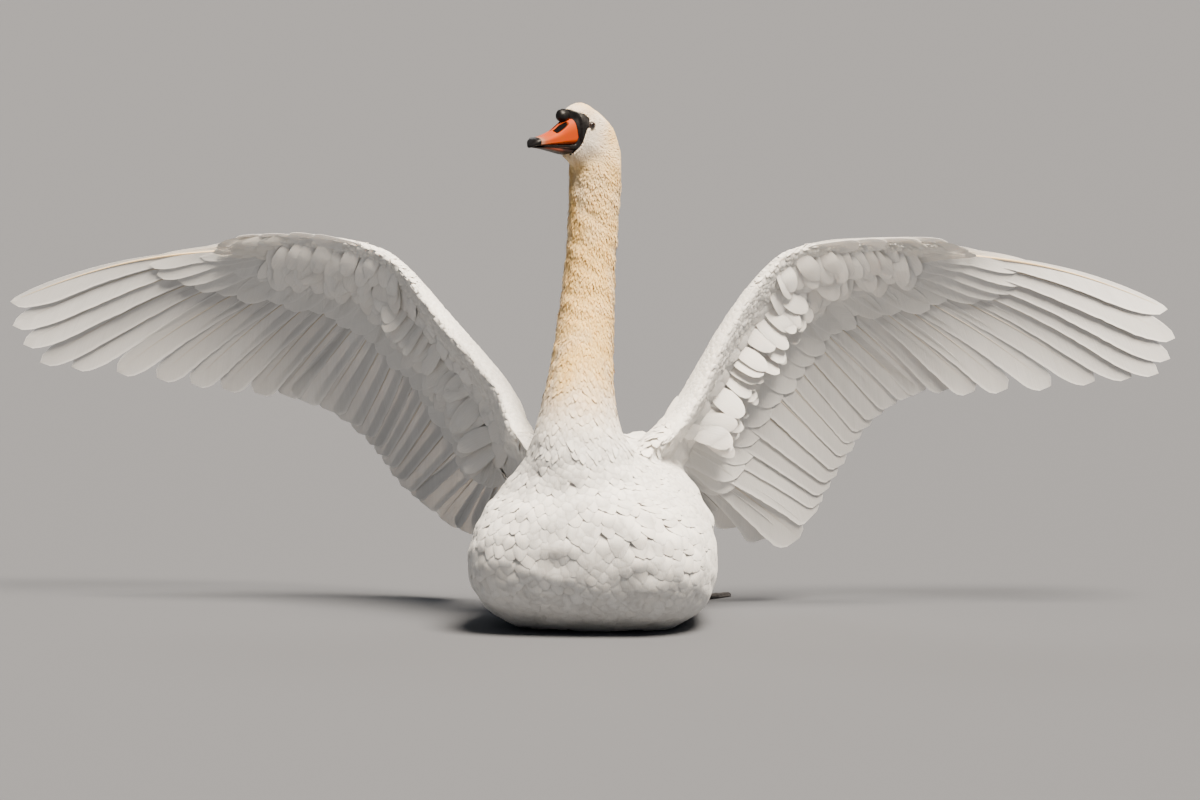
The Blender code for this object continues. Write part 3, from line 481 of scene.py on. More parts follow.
leg_finish = skin_material("leg_skin", (0.030, 0.029, 0.031), (0.060, 0.056, 0.056), 0.55, 260.0, 0.6)
claw_finish = skin_material("claw_horn", (0.020, 0.018, 0.018), (0.040, 0.035, 0.032), 0.32, 140.0, 0.2)


# ---- the skin: the flesh nodes grown together and drawn in by the coat's depth ----
FLESH = ["head", "neck_upper", "neck_lower", "breast", "trunk", "rump"]
FLESH += [f"{part}_{side}" for part in ("scapulars", "wing_arm", "wing_hand") for side, sign in SIDES]
FILLING = ("bill_upper", "bill_lower", "bill_knob", "eye_left", "eye_right")
SKIN_VOXEL = 0.0042
SKIN_SMOOTHING = 5
SKIN_BOTTOM = 0.0025
JOIN_SWELL = 0.0009
CROWDING = 5.0


def grown_flesh():
    """One closed mesh around all the flesh nodes, with the seats of bill and eyes filled."""
    whole = bmesh.new()
    for name in (*FLESH, *FILLING):
        part = bmesh.new()
        part.from_mesh(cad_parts[name].data)
        bmesh.ops.remove_doubles(part, verts=part.verts, dist=1e-5)
        bmesh.ops.recalc_face_normals(part, faces=part.faces)
        part.normal_update()
        for vert in part.verts:
            vert.co += vert.normal * JOIN_SWELL
        part_mesh = bpy.data.meshes.new("part")
        part.to_mesh(part_mesh)
        part.free()
        whole.from_mesh(part_mesh)
        bpy.data.meshes.remove(part_mesh)
    mesh = bpy.data.meshes.new("grown")
    whole.to_mesh(mesh)
    whole.free()
    item = bpy.data.objects.new("grown", mesh)
    bpy.context.scene.collection.objects.link(item)
    even = item.modifiers.new("even", "REMESH")
    even.mode = "VOXEL"
    even.voxel_size = SKIN_VOXEL
    soft = item.modifiers.new("soft", "SMOOTH")
    soft.factor = 0.5
    soft.iterations = SKIN_SMOOTHING
    bpy.context.view_layer.update()
    made = bpy.data.meshes.new_from_object(item.evaluated_get(bpy.context.evaluated_depsgraph_get()))
    bpy.data.objects.remove(item)
    return made


def coat_depth(points):
    """How far the skin lies inside the solids, and so how high the coat stands over it."""
    z = points[:, 2]
    depth = 0.0058 - 0.0018 * ramp(z, 0.24, 0.36) - 0.0012 * ramp(z, 0.66, 0.72)
    depth = depth - 0.0015 * ramp(z, 0.70, 0.74) * ramp(ahead_of(points), 0.005, 0.035)
    bill = np.interp(z, LORE_HEIGHTS, LORE_BACK)
    depth = depth + 0.0048 * ramp(ahead_of(points) - bill, -0.0005, 0.0060) * ramp(z, 0.700, 0.712)
    wing = wing_share(points)
    return depth * (1 - wing) + 0.0032 * wing


def pillows(points):
    """Soft folds of the plumage, deepest on the breast and flanks."""
    z = points[:, 2]
    body = 1 - wing_share(points)
    bed = np.stack((points[:, 0] * 0.75, points[:, 1] * 0.75, z * 1.35), axis=1)
    folds = soft_noise(bed, 0.052, 11) * 0.0013 * ((1 - ramp(z, 0.25, 0.40)) * body)
    return folds + soft_noise(points, 0.030, 13) * 0.0007 * ramp(z, 0.30, 0.42) * body


def apart(points, reach):
    """A random choice of the points, no two nearer than their reach."""
    cell = max(reach.max(), 1e-4) if len(reach) else 1.0
    around = [(i, j, k) for i in (-1, 0, 1) for j in (-1, 0, 1) for k in (-1, 0, 1)]
    keys = np.floor(points / cell).astype(int).tolist()
    plain = points.tolist()
    grid = {}
    kept = []
    for index in CHANCE.permutation(len(points)).tolist():
        x, y, z = plain[index]
        i, j, k = keys[index]
        limit = reach[index] ** 2
        near = (other for di, dj, dk in around for other in grid.get((i + di, j + dj, k + dk), ()))
        if all((x - ox) ** 2 + (y - oy) ** 2 + (z - oz) ** 2 >= limit for ox, oy, oz in near):
            grid.setdefault((i, j, k), []).append(plain[index])
            kept.append(index)
    return np.array(kept, int)


def unwrap(mesh):
    """A map of the skin in charts by its own shape, as OFBake."""
    item = bpy.data.objects.new("unwrap", mesh)
    bpy.context.scene.collection.objects.link(item)
    mesh.uv_layers.new(name="OFBake")
    bpy.ops.object.select_all(action="DESELECT")
    bpy.context.view_layer.objects.active = item
    item.select_set(True)
    bpy.ops.object.mode_set(mode="EDIT")
    bpy.ops.mesh.select_all(action="SELECT")
    bpy.ops.uv.smart_project(angle_limit=math.radians(75), island_margin=0.002)
    bpy.ops.object.mode_set(mode="OBJECT")
    bpy.data.objects.remove(item)
    return read(mesh.uv_layers["OFBake"].data, "uv", 2)


class Skin:
    """The drawn-in skin with what the coat needs to grow on it."""

    def __init__(self):
        mesh = grown_flesh()
        solid = read(mesh.vertices, "co", 3).reshape(-1, 3).astype(float)
        normals = read(mesh.vertex_normals, "vector", 3).reshape(-1, 3).astype(float)
        self.faces = read(mesh.loops, "vertex_index", 1, np.int32).reshape(-1, 4)
        outer = solid + normals * (pillows(solid) - JOIN_SWELL)[:, None]
        self.outer_tree = tree_of(outer, self.faces)
        self.points = outer - normals * coat_depth(solid)[:, None]
        self.points[:, 2] = np.maximum(self.points[:, 2], SKIN_BOTTOM)
        mesh.vertices.foreach_set("co", self.points.astype(np.float32).ravel())
        mesh.update()
        self.mesh = mesh
        self.normals = read(mesh.vertex_normals, "vector", 3).reshape(-1, 3).astype(float)
        self.face_normals = unit(self.normals[self.faces].mean(axis=1))
        self.uv = unwrap(mesh).reshape(-1, 4, 2)
        self.tree = tree_of(self.points, self.faces)
        corners = self.points[self.faces]
        edges = corners[:, 1:] - corners[:, :1]
        self.areas = 0.5 * np.linalg.norm(np.cross(edges[:, :-1], edges[:, 1:]), axis=2).sum(axis=1)
        self.centres = corners.mean(axis=1)

    def sample(self, mask, spacing):
        """Points spread over the masked faces, no two nearer than the spacing, with normals and uvs."""
        chosen = np.flatnonzero(mask)
        spacing = np.broadcast_to(spacing, len(mask))[chosen]
        counts = CHANCE.poisson(self.areas[chosen] / spacing**2 * CROWDING)
        face = np.repeat(chosen, counts)
        a, b = CHANCE.random((2, len(face)))
        weights = np.stack(((1 - a) * (1 - b), a * (1 - b), a * b, (1 - a) * b), axis=1)[:, :, None]
        points = (self.points[self.faces[face]] * weights).sum(axis=1)
        normals = unit((self.normals[self.faces[face]] * weights).sum(axis=1))
        uvs = (self.uv[face] * weights).sum(axis=1)
        kept = apart(points, np.repeat(spacing, counts))
        return points[kept], normals[kept], uvs[kept]

    def drape(self, points):
        """The nearest places on the skin and the smoothed outward directions there."""
        flat = points.reshape(-1, 3)
        places = np.empty_like(flat)
        faces = np.empty(len(flat), int)
        for i, point in enumerate(flat.tolist()):
            places[i], _, faces[i], _ = self.tree.find_nearest(point)
        around = self.faces[faces]
        near = 1.0 / (((self.points[around] - places[:, None]) ** 2).sum(axis=2) + 4e-7)
        outward = unit((self.normals[around] * near[..., None]).sum(axis=1))
        return places.reshape(points.shape), outward.reshape(points.shape)


skin = Skin()
no_shade = np.zeros(len(skin.points))
set_values(skin.mesh, {"shade": no_shade, "cream": cream_of(skin.points), "vane": skin.points})
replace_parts(mesh_object("skin", skin.mesh, skin_finish), *FLESH)


# ---- the lie of the coat: places run out along each wing's lines ----
TERTIAL_START = 0.95
TERTIAL_END = 1.45
WRIST = 5.0
WING_END = 7.0
WING_SPOTS = 60
TAIL_FALL = math.radians(17.0)
TAIL_BACK = np.array((0.0, math.cos(TAIL_FALL), -math.sin(TAIL_FALL)))
TAIL_UPPER = np.array((0.0, math.sin(TAIL_FALL), math.cos(TAIL_FALL)))


def spine_lie(points):
    """The way feathers point on head, neck and body: along the bird, from bill to tail."""
    line = curve(SPINE, 80)
    steps = unit(np.gradient(line, axis=0))
    away = np.linalg.norm(points[:, None, :] - line[None], axis=2)
    nearest = away.min(axis=1, keepdims=True)
    weights = np.exp(-((away - nearest) / 0.020) ** 2)
    return unit((weights[:, :, None] * steps[None]).sum(axis=1))


def wing_place(points):
    """Each point's place along its wing, its share of the way back from the leading edge, the chord."""
    place = np.zeros(len(points))
    share = np.zeros(len(points))
    chord = np.zeros((len(points), 3))
    for side, sign in SIDES:
        mine = (points[:, 0] - TRUNK_X) * sign > 0
        lead = curve(WINGS[side]["leading_edge"], WING_SPOTS)
        way = curve(WINGS[side]["quill_line"], WING_SPOTS) - lead
        rel = points[mine][:, None, :] - lead[None]
        part = np.clip((rel * way[None]).sum(axis=2) / (way**2).sum(axis=1), 0, 1)
        best = np.linalg.norm(rel - part[:, :, None] * way[None], axis=2).argmin(axis=1)
        place[mine] = np.linspace(0.0, WING_END, WING_SPOTS)[best]
        share[mine] = part[np.arange(len(best)), best]
        chord[mine] = unit(way[best])
    return place, share, chord


def wing_upper(points, side, sign):
    """The direction out of the wing's upper side at each place on one wing."""
    place, _, chord = wing_place(points)
    course = unit(np.gradient(curve(WINGS[side]["leading_edge"], WING_SPOTS), axis=0))
    index = np.clip(np.rint(place / WING_END * (WING_SPOTS - 1)).astype(int), 0, WING_SPOTS - 1)
    return unit(np.cross(chord, course[index])) * -sign


def lie_of(points, normals):
    """The direction each feather points, along the surface."""
    body = spine_lie(points)
    place, _, chord = wing_place(points)
    outward = np.sign(points[:, 0] - TRUNK_X)[:, None] * ACROSS
    wing = unit(chord + outward * (0.45 * ramp(place, 4.2, 5.4) + 1.2 * ramp(place, 5.6, 6.8))[:, None])
    mix = wing_share(points)[:, None]
    return unit(without(body * (1 - mix) + wing * mix, normals))


# ---- feathers of the coat: each outline is the breadth at even steps from root to tip ----
ROUND = (0.46, 0.80, 0.97, 1.0, 0.94, 0.76, 0.42)
SOFT = (0.55, 0.92, 1.0, 0.82, 0.36)
PADDLE = (0.50, 0.78, 0.94, 1.0, 1.0, 0.92, 0.62)
POINTED = (0.50, 0.95, 0.85, 0.12)
PATCH = 0.003
LEAST_HEIGHT = 0.0003
FLOOR_GAP = 0.0006
MOST_STRETCH = 1.55

# Shares of the wing: the body's coat ends at the first, the wing's starts at the second, and the loose
# coverts keep to the third. The fan of coverts starts at this place along the wing.
BODY_LIMIT = 0.75
WING_EDGE = 0.30
WING_CORE = 0.6
FAN_START = 0.35


def chosen_of(arrays, mask):
    return tuple(array[mask] for array in arrays)


def coat(name, seats, finish, slot, length, width, depth, step, across=6, outline=ROUND, arch=0.10,
         curl=0.0010, uneven=0.0004, lift=0.02, ragged=0.012, wander=0.12, tilt=0.05, tone=2.0,
         drape=True, lie=None):
    """Overlapping vanes as one mesh. Each rises from its root to the coat's depth, over the next root.

    Seats are roots, normals and uvs. Step sinks the root below the tip, arch bends the sides down and curl
    the tip. Uneven, lift, wander and tilt scatter the height, the tip's rise, the way and the roll of whole
    vanes, ragged frays the tip and tone says how few are dark. Drape lays the vanes on the skin.
    """
    roots, normals, uvs = seats
    count, rows, columns = len(roots), len(outline), across + 1
    lie = lie_of(roots, normals) if lie is None else lie
    side = unit(np.cross(normals, lie))
    lie = unit(lie + side * (CHANCE.normal(0, 1, count) * wander)[:, None])
    side = unit(np.cross(normals, lie))
    length = np.broadcast_to(length, count) * CHANCE.uniform(0.86, 1.14, count)
    width = np.broadcast_to(width, count) * CHANCE.uniform(0.88, 1.12, count)
    depth = np.broadcast_to(depth, count)
    share = np.linspace(-0.06, 1.0, rows)
    over = np.linspace(-1.0, 1.0, columns)
    half = 0.5 * width[:, None] * np.asarray(outline)[None]
    spread = half[:, :, None] * over
    fringe = np.zeros(rows)
    fringe[-2:] = (0.45, 1.0)
    jag = CHANCE.normal(0, ragged, (count, rows, columns)) * 0.5 * fringe[None, :, None]
    tuck = (1 - over**2)[None, None, :] * 0.10 * (np.arange(rows) == rows - 1)[None, :, None]
    reach = length[:, None, None] * (share[None, :, None] + jag + tuck)
    kick = CHANCE.normal(0, 1, count) * lift
    height = depth[:, None] * (ramp(share, -0.1, 0.55) + kick[:, None] * np.maximum(share, 0) ** 2)
    height = height + np.reshape(step, (-1, 1)) * (share - 1.0) - curl * ramp(share, 0.70, 1.02) ** 2
    height = height + CHANCE.normal(0, uneven, count)[:, None]
    roll = (CHANCE.normal(0, 1, count) * tilt)[:, None, None]
    height = height[:, :, None] - arch * half[:, :, None] * over**2 + roll * spread
    height = np.maximum(height, LEAST_HEIGHT)
    bed = roots[:, None, None] + lie[:, None, None] * reach[..., None]
    bed = bed + side[:, None, None] * spread[..., None]
    up = np.broadcast_to(normals[:, None, None], bed.shape)
    if drape:
        laid, outward = skin.drape(bed)
        laid_steps, steps = (np.linalg.norm(np.diff(grid, axis=1), axis=-1) for grid in (laid, bed))
        whole = (laid_steps / steps).max(axis=(1, 2)) < MOST_STRETCH
        bed, up = laid[whole], unit(0.25 * up + 0.75 * outward)[whole]
        height, spread, length, roots, uvs = chosen_of((height, spread, length, roots, uvs), whole)
        count = len(roots)
    points = bed + up * height[..., None]
    points[..., 2] = np.maximum(points[..., 2], FLOOR_GAP)
    block = rows * columns
    faces = (grid_faces(rows, columns) + (np.arange(count) * block)[:, None, None]).reshape(-1, 4)
    uv = (uvs[:, None] + grid_uv(over * PATCH / 2, (share - 0.5) * PATCH)).reshape(-1, 2)
    seeds = CHANCE.random(count)
    shade = np.repeat(CHANCE.random(count) ** tone, block)
    vane = np.broadcast_arrays(length[:, None, None] * share[:, None], spread, seeds[:, None, None])
    return mesh_piece(
        name, points, faces, finish, slot, uv,
        shade=shade, cream=np.repeat(cream_of(roots), block), vane=np.stack(vane, axis=-1).reshape(-1, 3),
    )


def wing_faces(sign, least):
    """True for the skin's faces on one wing."""
    return (wing_share(skin.centres) >= least) & ((skin.centres[:, 0] - TRUNK_X) * sign > 0)


def bare(points):
    """True where the bird has bare black skin or bill: no feather starts there."""
    z = points[:, 2]
    lore = np.interp(z, LORE_HEIGHTS, LORE_BACK)
    return (ahead_of(points) > lore - 0.0015 * ramp(z, 0.760, 0.775)) & (z > 0.700)


def head_coat():
    """Short pointed tufts, finest on the face."""
    centres = skin.centres
    head = (centres[:, 2] > 0.690) & ~bare(centres)
    for _, sign in SIDES:
        eye = head_point(EYE[0], EYE[1] * sign, EYE[2])
        head &= np.linalg.norm(centres - eye, axis=1) > 0.0066

    def face(points, full):
        return ramp(ahead_of(points), -0.01, full) * ramp(points[:, 2], 0.695, 0.72)

    seats = skin.sample(head, 0.00215 - 0.0008 * face(centres, 0.03))
    near = face(seats[0], 0.035)
    coat(
        "head_feathers", seats, neck_coat, "head_plumage", length=0.0080 - 0.0042 * near,
        width=0.0034 - 0.0014 * near, depth=coat_depth(seats[0]) * 1.05, step=0.0006, across=2,
        outline=POINTED, curl=0.0003, uneven=0.00012, lift=0.05, ragged=0.05, wander=0.14, tilt=0.04,
        drape=False,
    )


def neck_coats():
    """Loose tufts, longer down the neck."""
    z = skin.centres[:, 2]
    body = wing_share(skin.centres) < BODY_LIMIT
    spacing = 0.0022 + 0.0032 * (1 - ramp(z, 0.29, 0.46)) - 0.0002 * ramp(z, 0.62, 0.69)
    groups = (
        ("neck_upper_feathers", 0.47, 0.690, POINTED, False),
        ("neck_lower_feathers", 0.286, 0.47, SOFT, True),
    )
    for name, bottom, top, outline, drape in groups:
        seats = skin.sample((z > bottom) & (z <= top) & body, spacing)
        low = 1 - ramp(seats[0][:, 2], 0.29, 0.46)
        high = ramp(seats[0][:, 2], 0.60, 0.70)
        coat(
            name, seats, neck_coat, "neck_plumage", length=0.0115 + 0.0125 * low - 0.0035 * high,
            width=0.0040 + 0.0095 * low - 0.0006 * high, depth=coat_depth(seats[0]) * 1.08, step=0.0010,
            across=2, outline=outline, curl=0.0002, uneven=0.00026, lift=0.13, ragged=0.12, wander=0.14,
            tilt=0.06, tone=1.2, drape=drape,
        )


def body_coats():
    """Broad rounded feathers, smaller and closer up the breast.

    Each group has its faces, and the gap, length, width and step of its feathers.
    """
    y, z = skin.centres.T[1:]
    body = (z <= 0.318) & (wing_share(skin.centres) < BODY_LIMIT)
    groups = (
        ("breast_feathers", body & (y < 0.010), 0.0110, 0.038, 0.0290, 0.0033),
        ("trunk_feathers", body & (y >= -0.010) & (y < 0.285), 0.0124, 0.050, 0.035, 0.0038),
        ("rump_feathers", body & (y >= 0.265), 0.0110, 0.046, 0.031, 0.0040),
    )
    for name, mask, gap, length, width, step in groups:
        seats = skin.sample(mask, gap * (1 - 0.42 * ramp(z, 0.15, 0.31)))
        roots = seats[0]
        high = ramp(roots[:, 2], 0.14, 0.31) * (roots[:, 1] < 0.02)
        coat(
            name, seats, body_coat, "body_plumage", length=length * (1 - 0.42 * high),
            width=width * (1 - 0.48 * high), depth=coat_depth(roots), step=step * (1 - 0.55 * high),
            arch=0.05, curl=0.0011, uneven=0.00012, ragged=0.03, tilt=0.015,
        )


def scapulars():
    """Long rounded feathers over the shoulders and back, between the wings."""
    x, y, z = skin.centres.T
    level = skin.normals[skin.faces].mean(axis=1)[:, 2] > 0.35
    between = (y > 0.015) & (y < 0.27) & (np.abs(x - TRUNK_X) > 0.02) & (z < 0.31)
    seats = skin.sample(between & level, 0.0155)
    coat(
        "scapular_feathers", seats, body_coat, "body_plumage",
        length=0.085, width=0.038, depth=coat_depth(seats[0]) + 0.0025, step=0.0035, arch=0.07,
        curl=0.0015, ragged=0.010, wander=0.08, tilt=0.02,
    )


def tail_coverts():
    """Feathers that run from the rump over and under the root of the tail."""
    seats = skin.sample((skin.centres[:, 1] > 0.385) & (skin.face_normals[:, 1] < 0.62), 0.0100)
    roots, normals = seats[:2]
    narrow = np.stack((TRUNK_X - roots[:, 0], np.zeros(len(roots)), 0.114 - roots[:, 2]), axis=1)
    lie = unit(TAIL_BACK + 5.0 * narrow)
    lie = unit(lie - normals * np.minimum((lie * normals).sum(axis=1, keepdims=True), 0.12))
    coat(
        "tail_coverts", seats, body_coat, "body_plumage",
        length=0.074, width=0.034, depth=0.0062, step=0.0020,
        arch=0.08, curl=0.0012, uneven=0.0006, wander=0.07, tilt=0.03, drape=False, lie=lie,
    )


def wing_coats():
    """Small soft feathers over both sides of each wing, ruffled underneath."""
    share = wing_place(skin.centres)[1]
    spacing = 0.0036 + 0.0064 * ramp(share, 0.1, 0.9)
    for side, sign in SIDES:
        seats = skin.sample(wing_faces(sign, WING_EDGE), spacing)
        roots, normals = seats[:2]
        place_at, share_at, _ = wing_place(roots)
        back = ramp(share_at, 0.10, 0.95)
        below = -(normals * wing_upper(roots, side, sign)).sum(axis=1)
        ruffled = ramp(below, -0.1, 0.4) * ramp(share_at, 0.02, 0.25) * ramp(place_at, 1.3, 2.1)
        coat(
            f"wing_feathers_{side}", seats, wing_coat, "wing_plumage", length=0.013 + 0.024 * back,
            width=0.0085 + 0.015 * back, depth=coat_depth(roots) + 0.0012 * ruffled, step=0.0008,
            across=4, outline=SOFT, curl=0.0008, uneven=0.0002 + 0.0003 * ruffled, ragged=0.04,
            lift=0.05 + 0.24 * ruffled, wander=0.12 + 0.16 * ruffled, tilt=0.03 + 0.06 * ruffled,
        )


def fan_way(side, places):
    """The way the secondaries point at each place along the arm."""
    spots = np.linspace(FAN_START, WRIST, 40)
    tips = WINGS[side]["secondary_tips"]
    shares = np.clip((spots - TERTIAL_END) / (WRIST - TERTIAL_END), 0, 1) * (len(tips) - 1)
    quills = WINGS[side]["quill_line"]
    ways = np.array([along(tips, share) - along(quills, spot) for spot, share in zip(spots, shares)])
    return unit(ways)[np.clip(np.searchsorted(spots, places), 0, len(spots) - 1)]


def lobes():
    """Loose rounded coverts under the arm and wrist, ruffled by the spread of the wing."""
    place, share, _ = wing_place(skin.centres)
    front = 0.22 + 0.10 * (1 - ramp(place, 3.4, 4.4)) + 0.10 * (1 - ramp(place, 1.6, 2.6))
    for side, sign in SIDES:
        below = -(skin.face_normals * wing_upper(skin.centres, side, sign)).sum(axis=1)
        under = (below > 0.0) & (share > front) & (place > FAN_START) & (place < 6.3)
        seats = skin.sample(wing_faces(sign, WING_CORE) & under, 0.0095)
        seats = chosen_of(seats, CHANCE.random(len(seats[0])) < 0.85)
        roots, normals, uvs = seats
        place_at, share_at, chord_at = wing_place(roots)
        upper = wing_upper(roots, side, sign)
        droop = 0.27 * (1 - 0.6 * ramp(place_at, 3.4, 4.6)) * (1 - ramp(share_at, 0.60, 0.95))
        follow = ramp(share_at, 0.40, 0.75) * (1 - ramp(place_at, 3.8, 4.6))
        droop = droop * CHANCE.uniform(0.6, 1.4, len(roots)) + 0.13 * follow
        way = chord_at + (fan_way(side, place_at) - chord_at) * follow[:, None]
        outward = ACROSS * sign * (0.40 * ramp(place_at, 4.2, 5.6))[:, None]
        lie = unit(way - upper * droop[:, None] + outward)
        low = unit(without(0.30 * normals - 0.70 * upper, lie))
        close = unit(without(chord_at, normals))
        wrist = ramp(place_at, 4.0, 4.9)
        inner = 1 - ramp(place_at, 1.1, 2.2)
        size = 0.80 + 0.20 * ramp(share_at, 0.25, 0.60)
        luck = CHANCE.random((3, len(roots)))
        length = (0.046 + 0.013 * luck[0] + 0.006 * wrist + 0.022 * inner) * size
        width = (0.0255 + 0.007 * luck[1] + 0.004 * wrist + 0.006 * inner) * size
        depth = 0.0028 + 0.0048 * luck[2]
        arm = (place_at < 4.0) & (share_at < 0.62)
        parts = (("arm", arm, normals, close, True), ("hand", ~arm, low, lie, False))
        for part, chosen, up, way, drape in parts:
            coat(
                f"under_lobes_{part}_{side}", chosen_of((roots, up, uvs), chosen), covert_coat,
                "covert_feather", length=length[chosen], width=width[chosen],
                depth=depth[chosen] + 0.0025 * drape, step=0.0030 * drape, outline=PADDLE,
                arch=0.07, lift=0.12, wander=0.18, drape=drape, lie=way[chosen],
            )


def hand_ends():
    """Stiff little coverts that close the end of each hand over the outermost quill."""
    facing = unit((0.0, -1.0, -0.35))
    place = wing_place(skin.centres)[0]
    for side, sign in SIDES:
        wing = WINGS[side]
        front = (place > 6.1) & (skin.face_normals @ facing > -0.05)
        seats = skin.sample(wing_faces(sign, WING_CORE) & front, 0.0080)
        outer = unit(along(wing["leading_edge"], WING_END) - along(wing["leading_edge"], WING_END - 0.8))
        aim = unit(outer + unit(wing["primary_tips"][-1] - along(wing["quill_line"], WING_END)))
        roots, normals, uvs = chosen_of(seats, np.abs(seats[1] @ aim) < 0.55)
        normals = unit(0.35 * normals + 0.65 * facing)
        normals = unit(normals - aim * (normals @ aim)[:, None])
        coat(
            f"hand_end_{side}", (roots, normals, uvs), hand_coat, "covert_feather",
            length=0.040, width=0.0165, depth=0.0016, step=0.0008, across=4, curl=0.0020, uneven=0.0001,
            lift=0.0, ragged=0.01, wander=0.025, tilt=0.01, drape=False, lie=np.tile(aim, (len(roots), 1)),
        )


head_coat()
neck_coats()
body_coats()
scapulars()
tail_coverts()
wing_coats()
lobes()
hand_ends()


# ---- flight feathers and their coverts ----
TERTIALS = 4
SECONDARIES = 12
PRIMARIES = 10
FIRST_PRIMARY = TERTIALS + SECONDARIES
QUILLS = FIRST_PRIMARY + PRIMARIES
QUILL_GROUPS = (
    ("tertials", "tertial_tips", TERTIALS, TERTIAL_START, TERTIAL_END),
    ("secondaries", "secondary_tips", SECONDARIES, TERTIAL_END, WRIST),
    ("primaries", "primary_tips", PRIMARIES, WRIST, WING_END - 0.05),
)
NOTCHES = (0.90,) * 4 + (0.94,) * 12 + (0.92, 0.91, 0.90, 0.89, 0.87, 0.85, 0.81, 0.78, 0.76, 0.78)
QUILL_ROWS = 44
QUILL_THICKNESS = 0.0008
VANE_CAMBER = 0.055
VANE_ACROSS = 8
VANE_RIPPLE = 0.012
VANE_FOOT = 0.45
SHAFT_AROUND = 6
THICK_SHAFT = 0.0025
SHAFT_CAP = np.array(((0, 1, 2, 3), (0, 3, 4, 5)))

# Two rows of coverts under and over the quills: layer, share of the quill they cover on arm and hand,
# rise at root and tip, start behind the quill's root, breadth, notch, slope, rows of points, shaft,
# thickness, and the least and most that chance scales the length by.
COVERTS = (
    ("under", (0.46, 0.40), (-0.0070, -0.0035), 0.010, 1.20, 0.52, 0.045, 22, 0.0006, 0.0006, (0.93, 1.06)),
    ("upper", (0.44, 0.44), (0.0080, 0.0055), 0.010, 1.15, 0.60, 0.070, 22, 0.0009, 0.0007, (0.96, 1.03)),
    ("under", (0.22, 0.22), (-0.0100, -0.0070), 0.022, 1.25, 0.40, 0.05, 16, 0.0005, 0.0006, (0.85, 1.15)),
    ("upper", (0.24, 0.24), (0.0110, 0.0090), 0.022, 1.20, 0.45, 0.07, 16, 0.0006, 0.0007, (0.9, 1.1)),
)


def wing_section(wing, place):
    """Leading point, quill point, chord direction and upper-side direction at a place along the wing."""
    edge = wing["leading_edge"]
    lead = along(edge, place)
    quill = along(wing["quill_line"], place)
    course = along(edge, min(place + 0.15, WING_END)) - along(edge, max(place - 0.15, 0.0))
    chord = unit(quill - lead)
    return lead, quill, chord, -unit(np.cross(chord, unit(course))) * (1.0 if lead[0] > 0 else -1.0)


def quill_layout(side, sign):
    """Root, tip, upper side, and the gaps to the next quill at root and tip, for each quill outwards."""
    wing = WINGS[side]
    places = [TERTIAL_START]
    for *_, count, start, end in QUILL_GROUPS:
        places += list(np.linspace(start, end, count + 1)[1:])
    tips = np.concatenate([curve(wing[table], count) for _, table, count, *_ in QUILL_GROUPS])
    sections = [wing_section(wing, place) for place in places]
    edges = np.array([section[1] for section in sections])
    uppers = np.array([section[3] for section in sections])
    first, last = tips[0] * 1.5 - tips[1] * 0.5, tips[-1] * 1.35 - tips[-2] * 0.35
    aims = np.concatenate(([first], (tips[:-1] + tips[1:]) / 2, [last]))
    fanned = []
    for i, upper in enumerate(uppers):
        across = aims[min(i + 1, TERTIALS)] - aims[max(min(i, TERTIALS) - 1, 0)]
        own = unit(np.cross(across, aims[i] - edges[i])) * sign
        share = min(max((i - TERTIALS) / 4.0, 0.0), 1.0)
        fanned.append(unit(own + (upper - own) * share))
    fanned = np.array(fanned)
    return {
        "root": (edges[:-1] + edges[1:]) / 2,
        "tip": tips,
        "upper": unit(uppers[:-1] + uppers[1:]),
        "tip_upper": unit(fanned[:-1] + fanned[1:]),
        "gap": np.diff(edges, axis=0),
        "tip_gap": np.diff(aims, axis=0),
    }


def outline_of(share, notch):
    """Breadth along a vane: slim at the quill's foot, full to the notch, and rounded to the tip."""
    grow = VANE_FOOT + (1 - VANE_FOOT) * ramp(share, 0.0, 0.22)
    t = np.clip((share - notch) / (1.0 - notch), 0.0, 1.0)
    return grow * np.sqrt(np.clip(1 - t**2.3, 0.0, 1.0))


